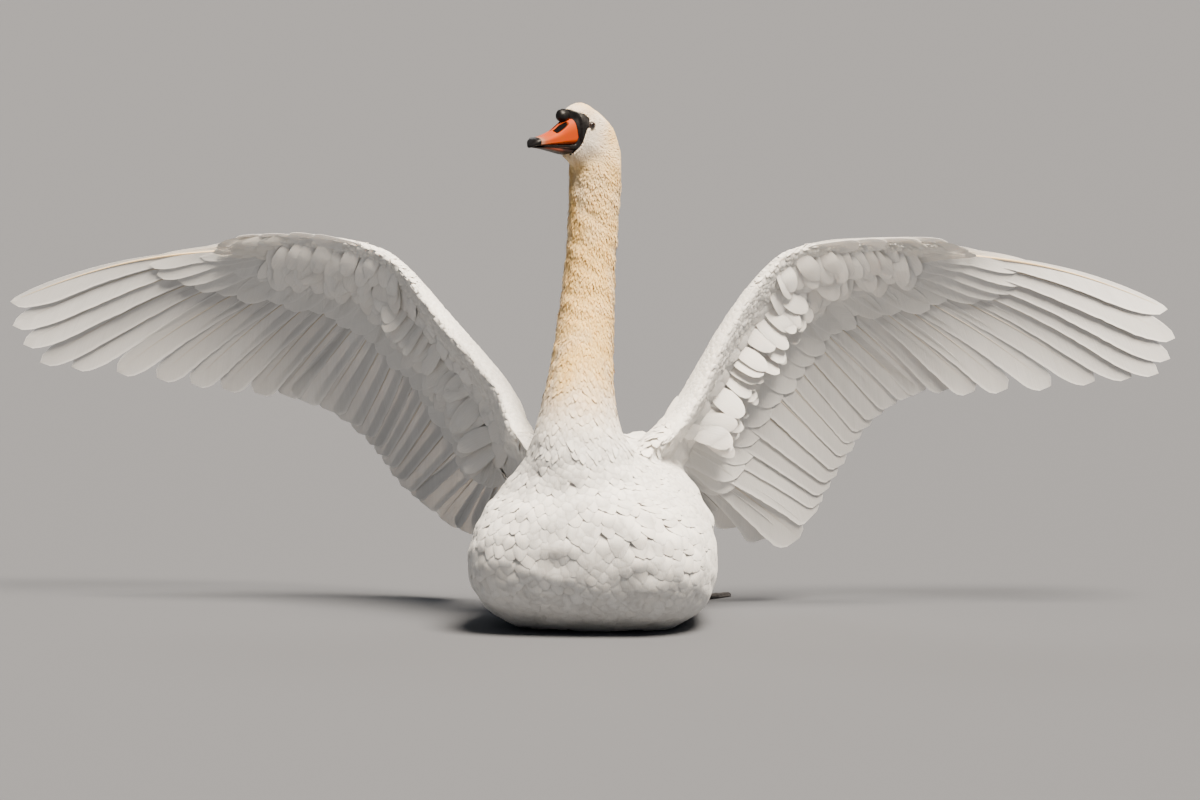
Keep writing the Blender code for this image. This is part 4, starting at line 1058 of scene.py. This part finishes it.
def vane_arrays(axis, upper, outward, outer, inner, slope, arch, thick, shaft):
    """Points, faces, values and uvs of one closed vane with its shaft."""
    rows, columns = len(axis), VANE_ACROSS + 1
    count, tube_count = rows * columns, rows * SHAFT_AROUND
    share = np.linspace(0.0, 1.0, rows)
    over = np.linspace(-1.0, 1.0, columns)
    wave = 1 + VANE_RIPPLE * CHANCE.normal(0, 1, (rows, 2))
    spread = np.where(over < 0, over * inner[:, None], over * outer[:, None])
    spread = spread * np.where(over < 0, wave[:, :1], wave[:, 1:])
    rise = slope * spread - arch * np.abs(spread) * np.abs(over)
    middle = axis[:, None] + outward[:, None] * spread[..., None] + upper[:, None] * rise[..., None]
    half = upper[:, None] * (0.5 * thick * (1 - 0.6 * np.abs(over)))[:, None]
    tube = tube_points(axis, outward, upper, (shaft * (1 - 0.86 * share))[:, None], 0.8, SHAFT_AROUND)
    points = np.concatenate([part.reshape(-1, 3) for part in (middle + half, middle - half, tube)])
    kept = int(rows * 0.97)
    caps = np.concatenate((SHAFT_CAP, SHAFT_CAP + (kept - 1) * SHAFT_AROUND))
    tube_faces = np.concatenate((grid_faces(kept, SHAFT_AROUND, closed=True), caps))
    reach = share * np.linalg.norm(axis[-1] - axis[0])
    lay = np.stack((np.repeat(reach, columns), spread.ravel(), np.full(count, CHANCE.random())), axis=1)
    tube_lay = np.repeat(reach, SHAFT_AROUND)[:, None] * ACROSS
    # edge says how far out across the vane a point lies; the finish paints light on the outermost part
    edge = np.tile(np.abs(over), rows)
    pale = 1.0 if shaft > THICK_SHAFT else 0.45
    values = {
        "vane": np.concatenate((lay, lay, tube_lay)),
        "edge": np.concatenate((edge, edge, np.zeros(tube_count))),
        "shaft": np.concatenate((np.zeros(2 * count), np.full(tube_count, pale))),
    }
    flat = grid_uv((over + 1) / 2, share)
    uvs = (flat, flat, grid_uv(turns(SHAFT_AROUND) / (2 * math.pi), share))
    return points, np.concatenate((slab_faces(rows, columns), tube_faces + 2 * count)), values, uvs


def feather_axis(root, tip, upper, tip_upper, camber, sweep, outward, rows, reach=1.0, lift=(0.0, 0.0)):
    """The curved line of a quill, with the directions along and above it."""
    share = np.linspace(0.0, 1.0, rows)[:, None]
    length = np.linalg.norm(tip - root)
    above = unit(upper * (1 - share) + tip_upper * share)
    bow = camber * length * np.sin(math.pi * share * reach * 0.9)
    raised = lift[0] + (lift[1] - lift[0]) * share
    line = root + (tip - root) * share * reach + above * (bow + raised)
    line = line + outward * sweep * length * reach * np.sin(math.pi * share)
    return line, unit(np.gradient(line, axis=0))


def fan_piece(name, feathers, finish, slot):
    """Many vanes joined as one piece, each with its own strips of the OFBake map."""
    points, faces, values, uvs = zip(*feathers)
    starts = np.cumsum([0] + [len(own) for own in points])
    shades = [np.full(len(own), CHANCE.random()) for own in points]
    strips = [uv for own in uvs for uv in own]
    laid = [
        np.stack(((column + 0.1 + 0.8 * uv[:, 0]) / len(strips), 0.02 + 0.96 * uv[:, 1]), axis=1)
        for column, uv in enumerate(strips)
    ]
    joined = {key: np.concatenate([own[key] for own in values]) for key in values[0]}
    faces = np.concatenate([own + start for own, start in zip(faces, starts)])
    made = mesh_piece(
        name, np.concatenate(points), faces, finish, slot, np.concatenate(laid),
        shade=np.concatenate(shades), cream=np.zeros(starts[-1]), **joined,
    )
    made.data.set_sharp_from_angle(angle=math.radians(50))
    return made


def quill_vane(lay, i, reach, lift, pull, wide, notch, slope, rows, shaft, thick, shorten=1.0):
    """One flight feather or covert in the line of quill i, over the share of it that it reaches."""
    root, tip, gap, upper = (lay[key][i] for key in ("root", "tip", "gap", "upper"))
    straight = unit(tip - root)
    root = root - straight * pull
    outward = unit(gap - straight * (gap @ straight))
    on_hand = i >= FIRST_PRIMARY
    line, ahead = feather_axis(
        root, tip, upper, lay["tip_upper"][i], VANE_CAMBER, 0.020 if on_hand else 0.012, outward, rows,
        reach * shorten, lift,
    )
    share = np.linspace(0.0, 1.0, rows)
    gaps = gap * (1 - share[:, None] * reach) + lay["tip_gap"][i] * share[:, None] * reach
    gaps = without(gaps, ahead)
    across = unit(gaps)
    above = unit(np.cross(ahead, across))
    above = above * np.sign((above * upper).sum(axis=1, keepdims=True) + 1e-9)
    space = np.clip(np.linalg.norm(gaps, axis=1), 0.010, 0.026 if on_hand else 0.034)
    shape = outline_of(share, notch)
    outer = space * (0.26 if i == QUILLS - 1 else 0.62) * shape * wide
    return vane_arrays(line, above, across, outer, space * 0.98 * shape * wide, slope, 0.05, thick, shaft)


def flight_feather(lay, i):
    shaft = 0.0030 if i == QUILLS - 1 else 0.0020
    return quill_vane(
        lay, i, reach=1.0, lift=(0.0, 0.0), pull=0.0, wide=1.0, notch=NOTCHES[i], slope=0.055,
        rows=QUILL_ROWS, shaft=shaft, thick=QUILL_THICKNESS,
    )


def wings():
    """Flight feathers and two rows of coverts on each side of both wings."""
    for side, sign in SIDES:
        lay = quill_layout(side, sign)
        first = 0
        for name, _, count, *_ in QUILL_GROUPS:
            fan = [flight_feather(lay, i) for i in range(first, first + count)]
            made = fan_piece(f"{name}_vanes_{side}", fan, flight, "flight_feather")
            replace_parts(made, f"{name}_{side}")
            first += count
        fans = {"under": [], "upper": []}
        for pair in (COVERTS[:2], COVERTS[2:]):
            for i in range(QUILLS):
                for layer, reach, *shape, luck in pair:
                    vane = quill_vane(lay, i, reach[i >= FIRST_PRIMARY], *shape, CHANCE.uniform(*luck))
                    fans[layer].append(vane)
        for layer, vanes in fans.items():
            made = fan_piece(f"{layer}_covert_vanes_{side}", vanes, covert, "covert_feather")
            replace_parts(made, f"{layer}_coverts_{side}")


# ---- alula and tail: stiff feathers that stand free of the wing's quills ----
ALULA = (
    (5.05, 6.95, 0.0015, 0.002, 0.030),
    (5.10, 6.55, 0.003, 0.006, 0.026),
    (5.05, 6.15, 0.004, 0.010, 0.024),
    (5.0, 5.8, 0.004, 0.013, 0.022),
)
TAIL_ROOT = np.array((0.012, 0.470, 0.116))
TAIL_FEATHERS = 10
FREE_ROWS = 26
FREE_NOTCH = 0.80


def free_vane(root, tip, upper, outward, width, camber, lean=0.5, shaft=0.0010):
    """A stiff feather between two points, with the width shared between its two sides."""
    line, ahead = feather_axis(root, tip, upper, upper, camber, 0.0, outward, FREE_ROWS)
    across = unit(outward - ahead * (ahead @ unit(outward))[:, None])
    above = np.cross(ahead, across)
    above = unit(above) * np.sign((above @ upper)[:, None] + 1e-9)
    shape = outline_of(np.linspace(0.0, 1.0, FREE_ROWS), FREE_NOTCH)
    outer, inner = width * lean * shape, width * (1 - lean) * shape
    return vane_arrays(line, above, across, outer, inner, 0.0, 0.06, QUILL_THICKNESS, shaft)


def alulas():
    """The thumb's feathers along the leading edge of the hand, with the outer edge vane of the wing.

    Each has its places along the wing at root and tip, how far it stands ahead and drops, and its width.
    """
    for side, _ in SIDES:
        feathers = []
        for start, end, ahead, drop, width in ALULA:
            lead, _, chord, upper = wing_section(WINGS[side], start)
            far, _, far_chord, far_upper = wing_section(WINGS[side], end)
            root = lead + chord * 0.010 - upper * drop
            tip = far + far_chord * (0.002 - ahead) - far_upper * (drop + 0.002)
            above, outward = unit(upper + far_upper), -unit(chord + far_chord)
            feathers.append(free_vane(root, tip, above, outward, width, 0.02, lean=0.38))
        made = fan_piece(f"alula_vanes_{side}", feathers, covert, "flight_feather")
        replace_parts(made, f"alula_{side}")


def tail():
    """A shallow fan of feathers, the middle ones on top."""
    feathers = []
    order = sorted(np.linspace(-1, 1, TAIL_FEATHERS), key=abs, reverse=True)
    for rank, share in enumerate(order):
        angle = math.radians(27.0) * share
        length = 0.150 - 0.042 * share**2
        below = TAIL_FEATHERS - rank
        root = TAIL_ROOT + ACROSS * 0.034 * share - TAIL_BACK * 0.018
        root = root - TAIL_UPPER * (0.004 * share**2 + 0.0012 * below - 0.006)
        tip = TAIL_ROOT + ACROSS * 0.038 * share
        tip = tip + (TAIL_BACK * math.cos(angle) + ACROSS * math.sin(angle)) * length
        tip = tip - TAIL_UPPER * (0.012 * share**2 + 0.001 * below - 0.005)
        outward = ACROSS * (1 if share > 0 else -1)
        feathers.append(free_vane(root, tip, TAIL_UPPER, outward, 0.036, 0.0, shaft=0.0014))
    made = fan_piece("tail_vanes", feathers, flight, "flight_feather")
    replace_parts(made, "tail_feathers")


wings()


# ---- bill, knob, lores and eyes ----
BILL_SKIN = ((0.0490, 0.7262, 0.7745, 0.0186), (0.0530, 0.7263, 0.7722, 0.0178), *UPPER_BILL)
NAIL_TIP = (0.1235, 0.7300, 0.7424, 0.0144)
NOSTRIL_START = np.array((0.0672, 0.7612))
NOSTRIL_END = np.array((0.0885, 0.7488))
NOSTRIL_WIDTH = 0.0029
NOSTRIL_DEPTH = 0.0032
SEPTUM = 0.003
BILL_AXIS_HEIGHT = 0.7480
BILL_GRID = (110, 120)
NAIL_GRID = (40, 60)
LOWER_GRID = (70, 72)
GAPE_GRID = (60, 20)
KNOB_GRID = (40, 56)
EYE_GRID = (36, 40)
LORE_GRID = (110, 22)
LORE_FRONT_HEIGHTS = (0.700, 0.722, 0.732, 0.7734, 0.779, 0.790, 0.80)
LORE_FRONT = (0.0600, 0.0565, 0.0513, 0.0567, 0.0630, 0.0665, 0.067)
LORE_EDGES = ((LORE_HEIGHTS, LORE_BACK), (LORE_FRONT_HEIGHTS, LORE_FRONT))
LORE_FARTHEST = 0.062
LID_INSIDE = np.array((0.0050, 0.0036))
LID_OUTSIDE = np.array((0.0068, 0.0058))
LID_AROUND = 56
LID_RINGS = ((0.0, 0.0001), (0.12, 0.0007), (0.35, 0.0009), (0.7, 0.0005), (1.0, -0.0006))

# The corner and edge of the mouth: forward, left, height and radius.
GAPE = (
    (0.1180, 0.0146, 0.7297, 0.0007), (0.1000, 0.0150, 0.7291, 0.0010), (0.0860, 0.0154, 0.7283, 0.0012),
    (0.0720, 0.0160, 0.7272, 0.0016), (0.0620, 0.0164, 0.7258, 0.0027), (0.0555, 0.0168, 0.7258, 0.0040),
    (0.0515, 0.0174, 0.7290, 0.0046), (0.0496, 0.0180, 0.7340, 0.0042), (0.0485, 0.0184, 0.7400, 0.0030),
)


def loft_piece(name, points, finish, slot, values):
    """A closed loft over a grid of rings, with a point at each end."""
    rows, around = points.shape[:2]
    count = rows * around
    quads = grid_faces(rows, around, closed=True)
    ring = np.arange(around)
    following = np.roll(ring, -1)
    last = (rows - 1) * around
    faces = np.concatenate((
        quads[:, (0, 1, 2)],
        quads[:, (0, 2, 3)],
        np.stack((np.full(around, count), following, ring), axis=1),
        np.stack((np.full(around, count + 1), ring + last, following + last), axis=1),
    ))
    flat = np.concatenate((points.reshape(-1, 3), [points[0].mean(axis=0), points[-1].mean(axis=0)]))
    uv = grid_uv(np.linspace(0.02, 0.98, around), np.linspace(0.02, 0.98, rows))
    uv = np.concatenate((uv, [[0.5, 0.0], [0.5, 1.0]]))
    filled = {
        key: np.concatenate((value.reshape(count), [value[0].mean(), value[-1].mean()]))
        for key, value in values.items()
    }
    return mesh_piece(name, flat, faces, finish, slot, uv, **filled)


def bill_grid(table, grid, top_power, low_power):
    """Points of a bill's loft in the head's frame: forward, left, height and place round, for each."""
    rows, around = grid
    forward, low, high, wide = curve(table, rows).T[..., None]
    across, rise = np.cos(turns(around)), np.sin(turns(around))
    power = 2 / np.where(rise > 0, top_power, low_power)
    across = np.sign(across) * np.abs(across) ** power
    rise = np.sign(rise) * np.abs(rise) ** power
    height = (low + high) / 2 + (high - low) / 2 * rise
    return np.broadcast_arrays(forward, wide * across, height, rise)


def upper_bill():
    """The orange bill with its nostrils and ridge, dark along the lip and paler at the tip."""
    forward, left, height, rise = bill_grid(BILL_SKIN, BILL_GRID, 2.3, 3.4)
    left = left + np.sign(left) * (np.exp(-(((rise + 0.62) / 0.20) ** 2)) * 0.0006)
    way = NOSTRIL_END - NOSTRIL_START
    spot = np.stack((forward, height), axis=-1) - NOSTRIL_START
    part = np.clip((spot @ way) / (way @ way), 0, 1)
    away = np.linalg.norm(spot - part[..., None] * way, axis=-1)
    room = NOSTRIL_WIDTH * (0.55 + 0.45 * np.sin(math.pi * np.clip(part * 0.8 + 0.15, 0, 1)))
    aside = np.abs(left) > SEPTUM
    hole = (1 - ramp(away / room, 0.62, 1.02)) * aside
    rim = np.exp(-(((away / room - 1.25) / 0.28) ** 2))
    left = left - np.sign(left) * (NOSTRIL_DEPTH * hole - 0.0003 * rim * aside)
    height = height - 0.0012 * hole
    ridge = np.exp(-((left / 0.0035) ** 2)) * ramp(rise, 0.5, 1.0) * ramp(forward, 0.075, 0.09)
    height = height + 0.0005 * ridge
    values = {
        # dark: painted shade in the nostril's hollow, and the lip's own black edge
        "dark": np.clip(hole * 1.3 + ramp(-rise, 0.80, 0.90), 0, 1),
        "pink": 0.75 * ramp(forward, 0.098, 0.121),
        "pale": 0.75 * ramp(forward, 0.113, 0.122),
    }
    made = loft_piece("upper_bill", head_point(forward, left, height), bill_finish, "bill_orange", values)
    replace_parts(made, "bill_upper")
    return made


def nail():
    forward, left, height, rise = bill_grid((NAIL_TIP, *NAIL), NAIL_GRID, 2.3, 2.6)
    height = height - 0.0012 * ramp(forward, 0.129, 0.1358) * ramp(-rise, -0.2, 1.0)
    made = loft_piece("nail", head_point(forward, left, height), black_finish, "black_skin", {})
    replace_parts(made, "bill_nail")


def lower_bill():
    forward, left, height, rise = bill_grid(LOWER_BILL, LOWER_GRID, 3.0, 2.2)
    pink = ramp(forward, 0.074, 0.090) * (1 - ramp(forward, 0.108, 0.118))
    pink = pink * (1 - ramp(np.abs(rise + 0.15), 0.25, 0.6))
    points = head_point(forward, left, height)
    made = loft_piece("lower_bill", points, lower_finish, "black_skin", {"pink": pink})
    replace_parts(made, "bill_lower")


def gapes():
    """The black edge of the mouth, thick at its corner, where it runs up into the lores."""
    rows, around = GAPE_GRID
    forward, left, height, radius = curve(GAPE, rows).T
    for side, sign in SIDES:
        line = head_point(forward, left * sign, height)
        aim = unit(np.gradient(line, axis=0))
        out = unit(LEFT * sign - aim * (aim @ LEFT)[:, None] * sign)
        ring = tube_points(line, out, np.cross(aim, out), radius[:, None], 0.45, around)
        loft_piece(f"gape_{side}", ring, black_finish, "black_skin", {})


def ball_shape(rows, around):
    """Directions all round, in rings from one end of the first axis to the other."""
    polar = np.linspace(0.02, math.pi - 0.02, rows)[:, None]
    parts = (np.cos(polar), np.sin(polar) * np.cos(turns(around)), np.sin(polar) * np.sin(turns(around)))
    return np.stack(np.broadcast_arrays(*parts), axis=-1)


def knob():
    """The lumpy black knob over the bill."""
    shape = ball_shape(*KNOB_GRID)
    swell = 0.035 * soft_noise(shape.reshape(-1, 3), 1.1, 21).reshape(KNOB_GRID)
    shape = shape * (1 + swell)[..., None]
    points = head_point(*KNOB) + (shape * np.array(KNOB_RADII)) @ np.array((FORWARD, LEFT, UP))
    made = loft_piece("knob", points, black_finish, "black_skin", {})
    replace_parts(made, "bill_knob")


def lores(bill):
    """The bare black skin between the bill and the eyes, over the forehead from side to side."""
    rows, columns = LORE_GRID
    points = np.zeros((rows, columns, 3))
    corners = read(bill.vertices, "co", 3).reshape(-1, 3)
    bill_tree = tree_of(corners, read(bill.loops, "vertex_index", 1, np.int32).reshape(-1, 3))
    for i, angle in enumerate(np.linspace(math.radians(-76), math.radians(256), rows)):
        aim = LEFT * math.cos(angle) + UP * math.sin(angle)

        def surface(forward, tree):
            hit = tree.ray_cast(Vector(head_point(forward, 0.0, BILL_AXIS_HEIGHT)), Vector(aim))
            return hit[3] if hit[0] is not None else 0.0

        ends = []
        for heights, places in LORE_EDGES:
            forward = 0.050
            for _ in range(12):
                reach = surface(min(forward, LORE_FARTHEST), skin.outer_tree)
                height = BILL_AXIS_HEIGHT + reach * math.sin(angle)
                forward = 0.5 * forward + 0.5 * float(np.interp(height, heights, places))
            ends.append(forward)
        for j, share in enumerate(np.linspace(-0.10, 1.0, columns)):
            forward = ends[0] + (ends[1] - ends[0]) * share
            high = surface(forward, skin.outer_tree) - 0.0002
            low = surface(forward, bill_tree) + 0.0004
            reach = high + (low - high) * float(ramp(share, 0.25, 1.0)) if low > 0.001 else high
            tuck = 0.0012 * float(1 - ramp(share, -0.10, 0.06)) + 0.0006 * float(ramp(share, 0.93, 1.0))
            points[i, j] = head_point(forward, 0.0, BILL_AXIS_HEIGHT) + aim * (reach - tuck)
    uv = grid_uv(np.linspace(0, 1, columns), np.linspace(0, 1, rows))
    mesh_piece("lores", points, grid_faces(rows, columns), black_finish, "black_skin", uv)


def eyes():
    """Dark glossy eyeballs in almond-shaped lids."""
    turn = turns(LID_AROUND)
    for side, sign in SIDES:
        centre = head_point(EYE[0], EYE[1] * sign, EYE[2])
        out = unit(LEFT * sign + FORWARD * 0.18)
        back = unit(np.cross(UP, out))
        shape = ball_shape(*EYE_GRID)
        points = centre + (shape * EYE_RADIUS) @ np.array((out, back, UP))
        values = {"pupil": ramp(shape[..., 0], 0.90, 0.94)}
        made = loft_piece(f"eyeball_{side}", points, eye_finish, "eye", values)
        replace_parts(made, f"eye_{side}")
        rings = []
        for share, lift in LID_RINGS:
            wide, tall = LID_INSIDE + (LID_OUTSIDE - LID_INSIDE) * share
            pinch = 1 - 0.25 * np.abs(np.cos(turn)) ** 6 * (1 - share)
            u = np.cos(turn) * wide
            v = np.sin(turn) * tall * pinch
            dome = np.sqrt(np.maximum(EYE_RADIUS**2 - u**2 - v**2, (EYE_RADIUS * 0.30) ** 2))
            rings.append(centre + back * u[:, None] + UP * v[:, None] + out * (dome + lift)[:, None])
        uv = grid_uv(np.linspace(0, 1, LID_AROUND), np.linspace(0, 1, len(rings)))
        faces = grid_faces(len(rings), LID_AROUND, closed=True)
        mesh_piece(f"eyelid_{side}", rings, faces, lid_finish, "black_skin", uv)


beak = upper_bill()
nail()
lower_bill()
gapes()
knob()
lores(beak.data)
eyes()


# ---- legs and feet ----
FOOT_START = np.array((0.112, 0.304, 0.0))
LEG_TOP = np.array((0.062, 0.210, 0.030))
LEG_ANKLE = np.array((0.112, 0.300, 0.018))
TOE_LENGTHS = (0.100, 0.125, 0.115)
TOE_ANGLES = (-24.0, 2.0, 28.0)
TOE_HEIGHT = 0.0115
TOE_WIDTH = 0.0075
TOE_JOINTS = ((0.36, 0.72), (0.30, 0.56, 0.82), (0.26, 0.48, 0.68, 0.87))
TOE_TIP = 3.9
WEB_REACH = 0.86
WEB_HEIGHT = 0.0024
SCUTE = 0.0034
SCUTE_HEIGHT = 0.00035
SOLE_HEIGHT = 0.0003
FOOT_GRID = (72, 150)
CLAW_GRID = (12, 12)
LEG_GRID = (64, 32)


def foot_heights(turn, radius, share):
    """Height of the foot's upper side: jointed, scuted toes over a thin wrinkled web."""
    height = WEB_HEIGHT + 0.0005 * np.sin(turn * 160.0 + 9.0 * share) * ramp(share, 0.1, 0.4)
    scutes = SCUTE_HEIGHT * np.abs(np.sin(math.pi * radius / SCUTE))
    for angle, length, joints in zip(TOE_ANGLES, TOE_LENGTHS, TOE_JOINTS):
        aside = radius * np.sin(turn - math.radians(angle))
        way = radius / length
        swell = sum(np.exp(-(((way - joint) / 0.045) ** 2)) for joint in joints)
        width = TOE_WIDTH * (1 - 0.48 * way) * (1 + 0.14 * swell)
        tall = TOE_HEIGHT * (1 - 0.50 * way) * (1 + 0.10 * swell)
        round_off = np.sqrt(np.clip(1 - np.clip((way - 0.93) / 0.07, 0, 1) ** 2, 0.05, 1))
        toe = (tall + scutes) * round_off * np.sqrt(np.clip(1 - (aside / width) ** 2, 0, 1))
        height = np.maximum(height, toe)
    return height


def web_edge(turn):
    """How far the foot reaches in each direction: out to the toes and in a shallow curve between them."""
    angles = np.radians(TOE_ANGLES)
    far = np.interp(turn, angles, TOE_LENGTHS)
    nearest = np.min(np.abs(turn[:, None] - angles[None]), axis=1)
    dip = np.clip(nearest / np.radians(13.0), 0, 1)
    sag = 1 - (1 - WEB_REACH) * ramp(dip, 0.12, 0.75)
    tip = np.sqrt(np.clip(1 - (nearest / math.radians(TOE_TIP)) ** 2, 0.0, 1.0))
    inside = (turn > angles[0]) & (turn < angles[-1])
    return np.where(inside, far * sag, far * (0.90 + 0.10 * tip))


def foot_piece(side, sign, start):
    """The webbed foot, flat under and ridged by its toes above."""
    rows, columns = FOOT_GRID
    turn = np.radians(np.linspace(TOE_ANGLES[0] - TOE_TIP, TOE_ANGLES[-1] + TOE_TIP, columns))
    share = np.linspace(0.07, 1.0, rows)[:, None]
    radius = share * web_edge(turn)
    height = foot_heights(turn, radius, share) * (0.35 + 0.65 * ramp(1 - share, 0.0, 0.02))
    flat = np.stack((np.sin(turn) * sign * radius, np.cos(turn) * radius, np.zeros_like(radius)), axis=-1)
    points = np.concatenate((start + flat + UP * height[..., None], start + flat + UP * SOLE_HEIGHT))
    faces = slab_faces(rows, columns)
    if sign < 0:
        faces = faces[:, ::-1]
    across = np.linspace(0.02, 0.98, columns)
    halves = (np.linspace(0.02, 0.48, rows), np.linspace(0.52, 0.98, rows))
    uv = np.concatenate([grid_uv(across, down) for down in halves])
    made = mesh_piece(f"webbed_foot_{side}", points, faces, leg_finish, "leg_skin", uv)
    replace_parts(made, f"foot_{side}")


def claws(side, sign, start):
    """Three short blunt claws, curved down from the toe tips."""
    rows, around = CLAW_GRID
    t = np.linspace(0, 1, rows)[:, None]
    rings = []
    for angle, length in zip(TOE_ANGLES, TOE_LENGTHS):
        turn = math.radians(angle) * sign
        aim = np.array((math.sin(turn), math.cos(turn), 0.0))
        across = np.array((aim[1], -aim[0], 0.0))
        line = start + aim * (length * 0.955 + 0.009 * t) + UP * (0.0040 - 0.0024 * t**2)
        rings.append(tube_points(line, across, UP, 0.0024 * np.sqrt(1 - t**1.6 * 0.97), 0.8, around))
    points = np.maximum(np.array(rings), (-np.inf, -np.inf, 0.0004))
    faces = grid_faces(rows, around, closed=True)
    faces = np.concatenate([faces + index * rows * around for index in range(len(rings))])
    uv = np.tile(grid_uv(np.linspace(0, 0.95, around), np.linspace(0, 1, rows)), (len(rings), 1))
    made = mesh_piece(f"claws_{side}", points, faces, claw_finish, "leg_skin", uv)
    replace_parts(made, f"foot_{side}")


def leg_piece(side, mirror):
    """The scaled leg, laid along the flank and thick at the ankle."""
    rows, around = LEG_GRID
    top, ankle = LEG_TOP * mirror, LEG_ANKLE * mirror
    t = np.linspace(-0.05, 1.06, rows)[:, None]
    aim = unit(ankle - top)
    across = unit(np.cross(aim, UP))
    radius = (0.0108 - 0.0036 * t) * (1 + 0.22 * np.exp(-(((t - 0.96) / 0.10) ** 2)))
    front = 0.5 + 0.5 * np.sin(turns(around))
    radius = radius + SCUTE_HEIGHT * np.abs(np.sin(math.pi * t * 27.0)) * front
    points = tube_points(top + (ankle - top) * t, across, np.cross(across, aim), radius, 0.85, around)
    points = np.maximum(points, (-np.inf, -np.inf, 0.0008))
    uv = grid_uv(np.linspace(0, 0.97, around), np.linspace(0, 1, rows))
    faces = grid_faces(rows, around, closed=True)
    made = mesh_piece(f"scaled_leg_{side}", points, faces, leg_finish, "leg_skin", uv)
    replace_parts(made, f"leg_{side}")


alulas()
tail()
for side, sign in SIDES:
    mirror = np.array((sign, 1.0, 1.0))
    foot_piece(side, sign, FOOT_START * mirror)
    claws(side, sign, FOOT_START * mirror)
    leg_piece(side, mirror)


# ---- floor, lights and camera ----
AIM = Vector((0.016, 0.0, 0.3385))
AZIMUTH = math.radians(7.0)
ELEVATION = math.radians(5.5)
DISTANCE = 20.0
LAMPS = (
    ("key", (0.2985, -0.3315, 0.895), 18.8, 28.0, (1.0, 0.87, 0.71)),
    ("back", (-0.3, 0.8, 0.5), 0.5, 20.0, (1.0, 1.0, 1.0)),
)


def turned(name, data, toward, axis):
    """A lamp or camera, linked and turned so that its own axis points that way."""
    item = bpy.data.objects.new(name, data)
    item.rotation_mode = "QUATERNION"
    item.rotation_quaternion = Vector(toward).to_track_quat(axis, "Y")
    bpy.context.scene.collection.objects.link(item)
    return item


def studio():
    """A plain floor, a soft sky, a warm key light and a faint one behind."""
    bpy.ops.mesh.primitive_plane_add(size=160.0, location=(0.0, 0.0, 0.0))
    floor = bpy.context.object
    floor.name = "floor"
    finish, _, shader = new_finish("floor", 0.9)
    shader.inputs["Base Color"].default_value = (0.078, 0.084, 0.097, 1.0)
    floor.data.materials.append(finish)
    world = bpy.data.worlds.new("studio")
    world.use_nodes = True
    sky = world.node_tree.nodes["Background"]
    sky.inputs["Color"].default_value = (0.77, 0.88, 1.0, 1.0)
    sky.inputs["Strength"].default_value = 0.15
    bpy.context.scene.world = world
    for name, toward, strength, angle, colour in LAMPS:
        lamp = bpy.data.lights.new(name, "SUN")
        lamp.energy = strength
        lamp.angle = math.radians(angle)
        lamp.color = colour
        turned(name, lamp, toward, "Z")


def camera():
    """The photograph's view, from far off."""
    level = math.cos(ELEVATION)
    back = Vector((math.sin(AZIMUTH) * level, -math.cos(AZIMUTH) * level, math.sin(ELEVATION)))
    lens = bpy.data.cameras.new("camera")
    lens.lens = 400.0
    lens.sensor_width = 36.0
    lens.clip_start = 0.5
    lens.clip_end = 300.0
    item = turned("camera", lens, -back, "-Z")
    item.location = AIM + back * DISTANCE
    bpy.context.scene.camera = item


studio()
camera()
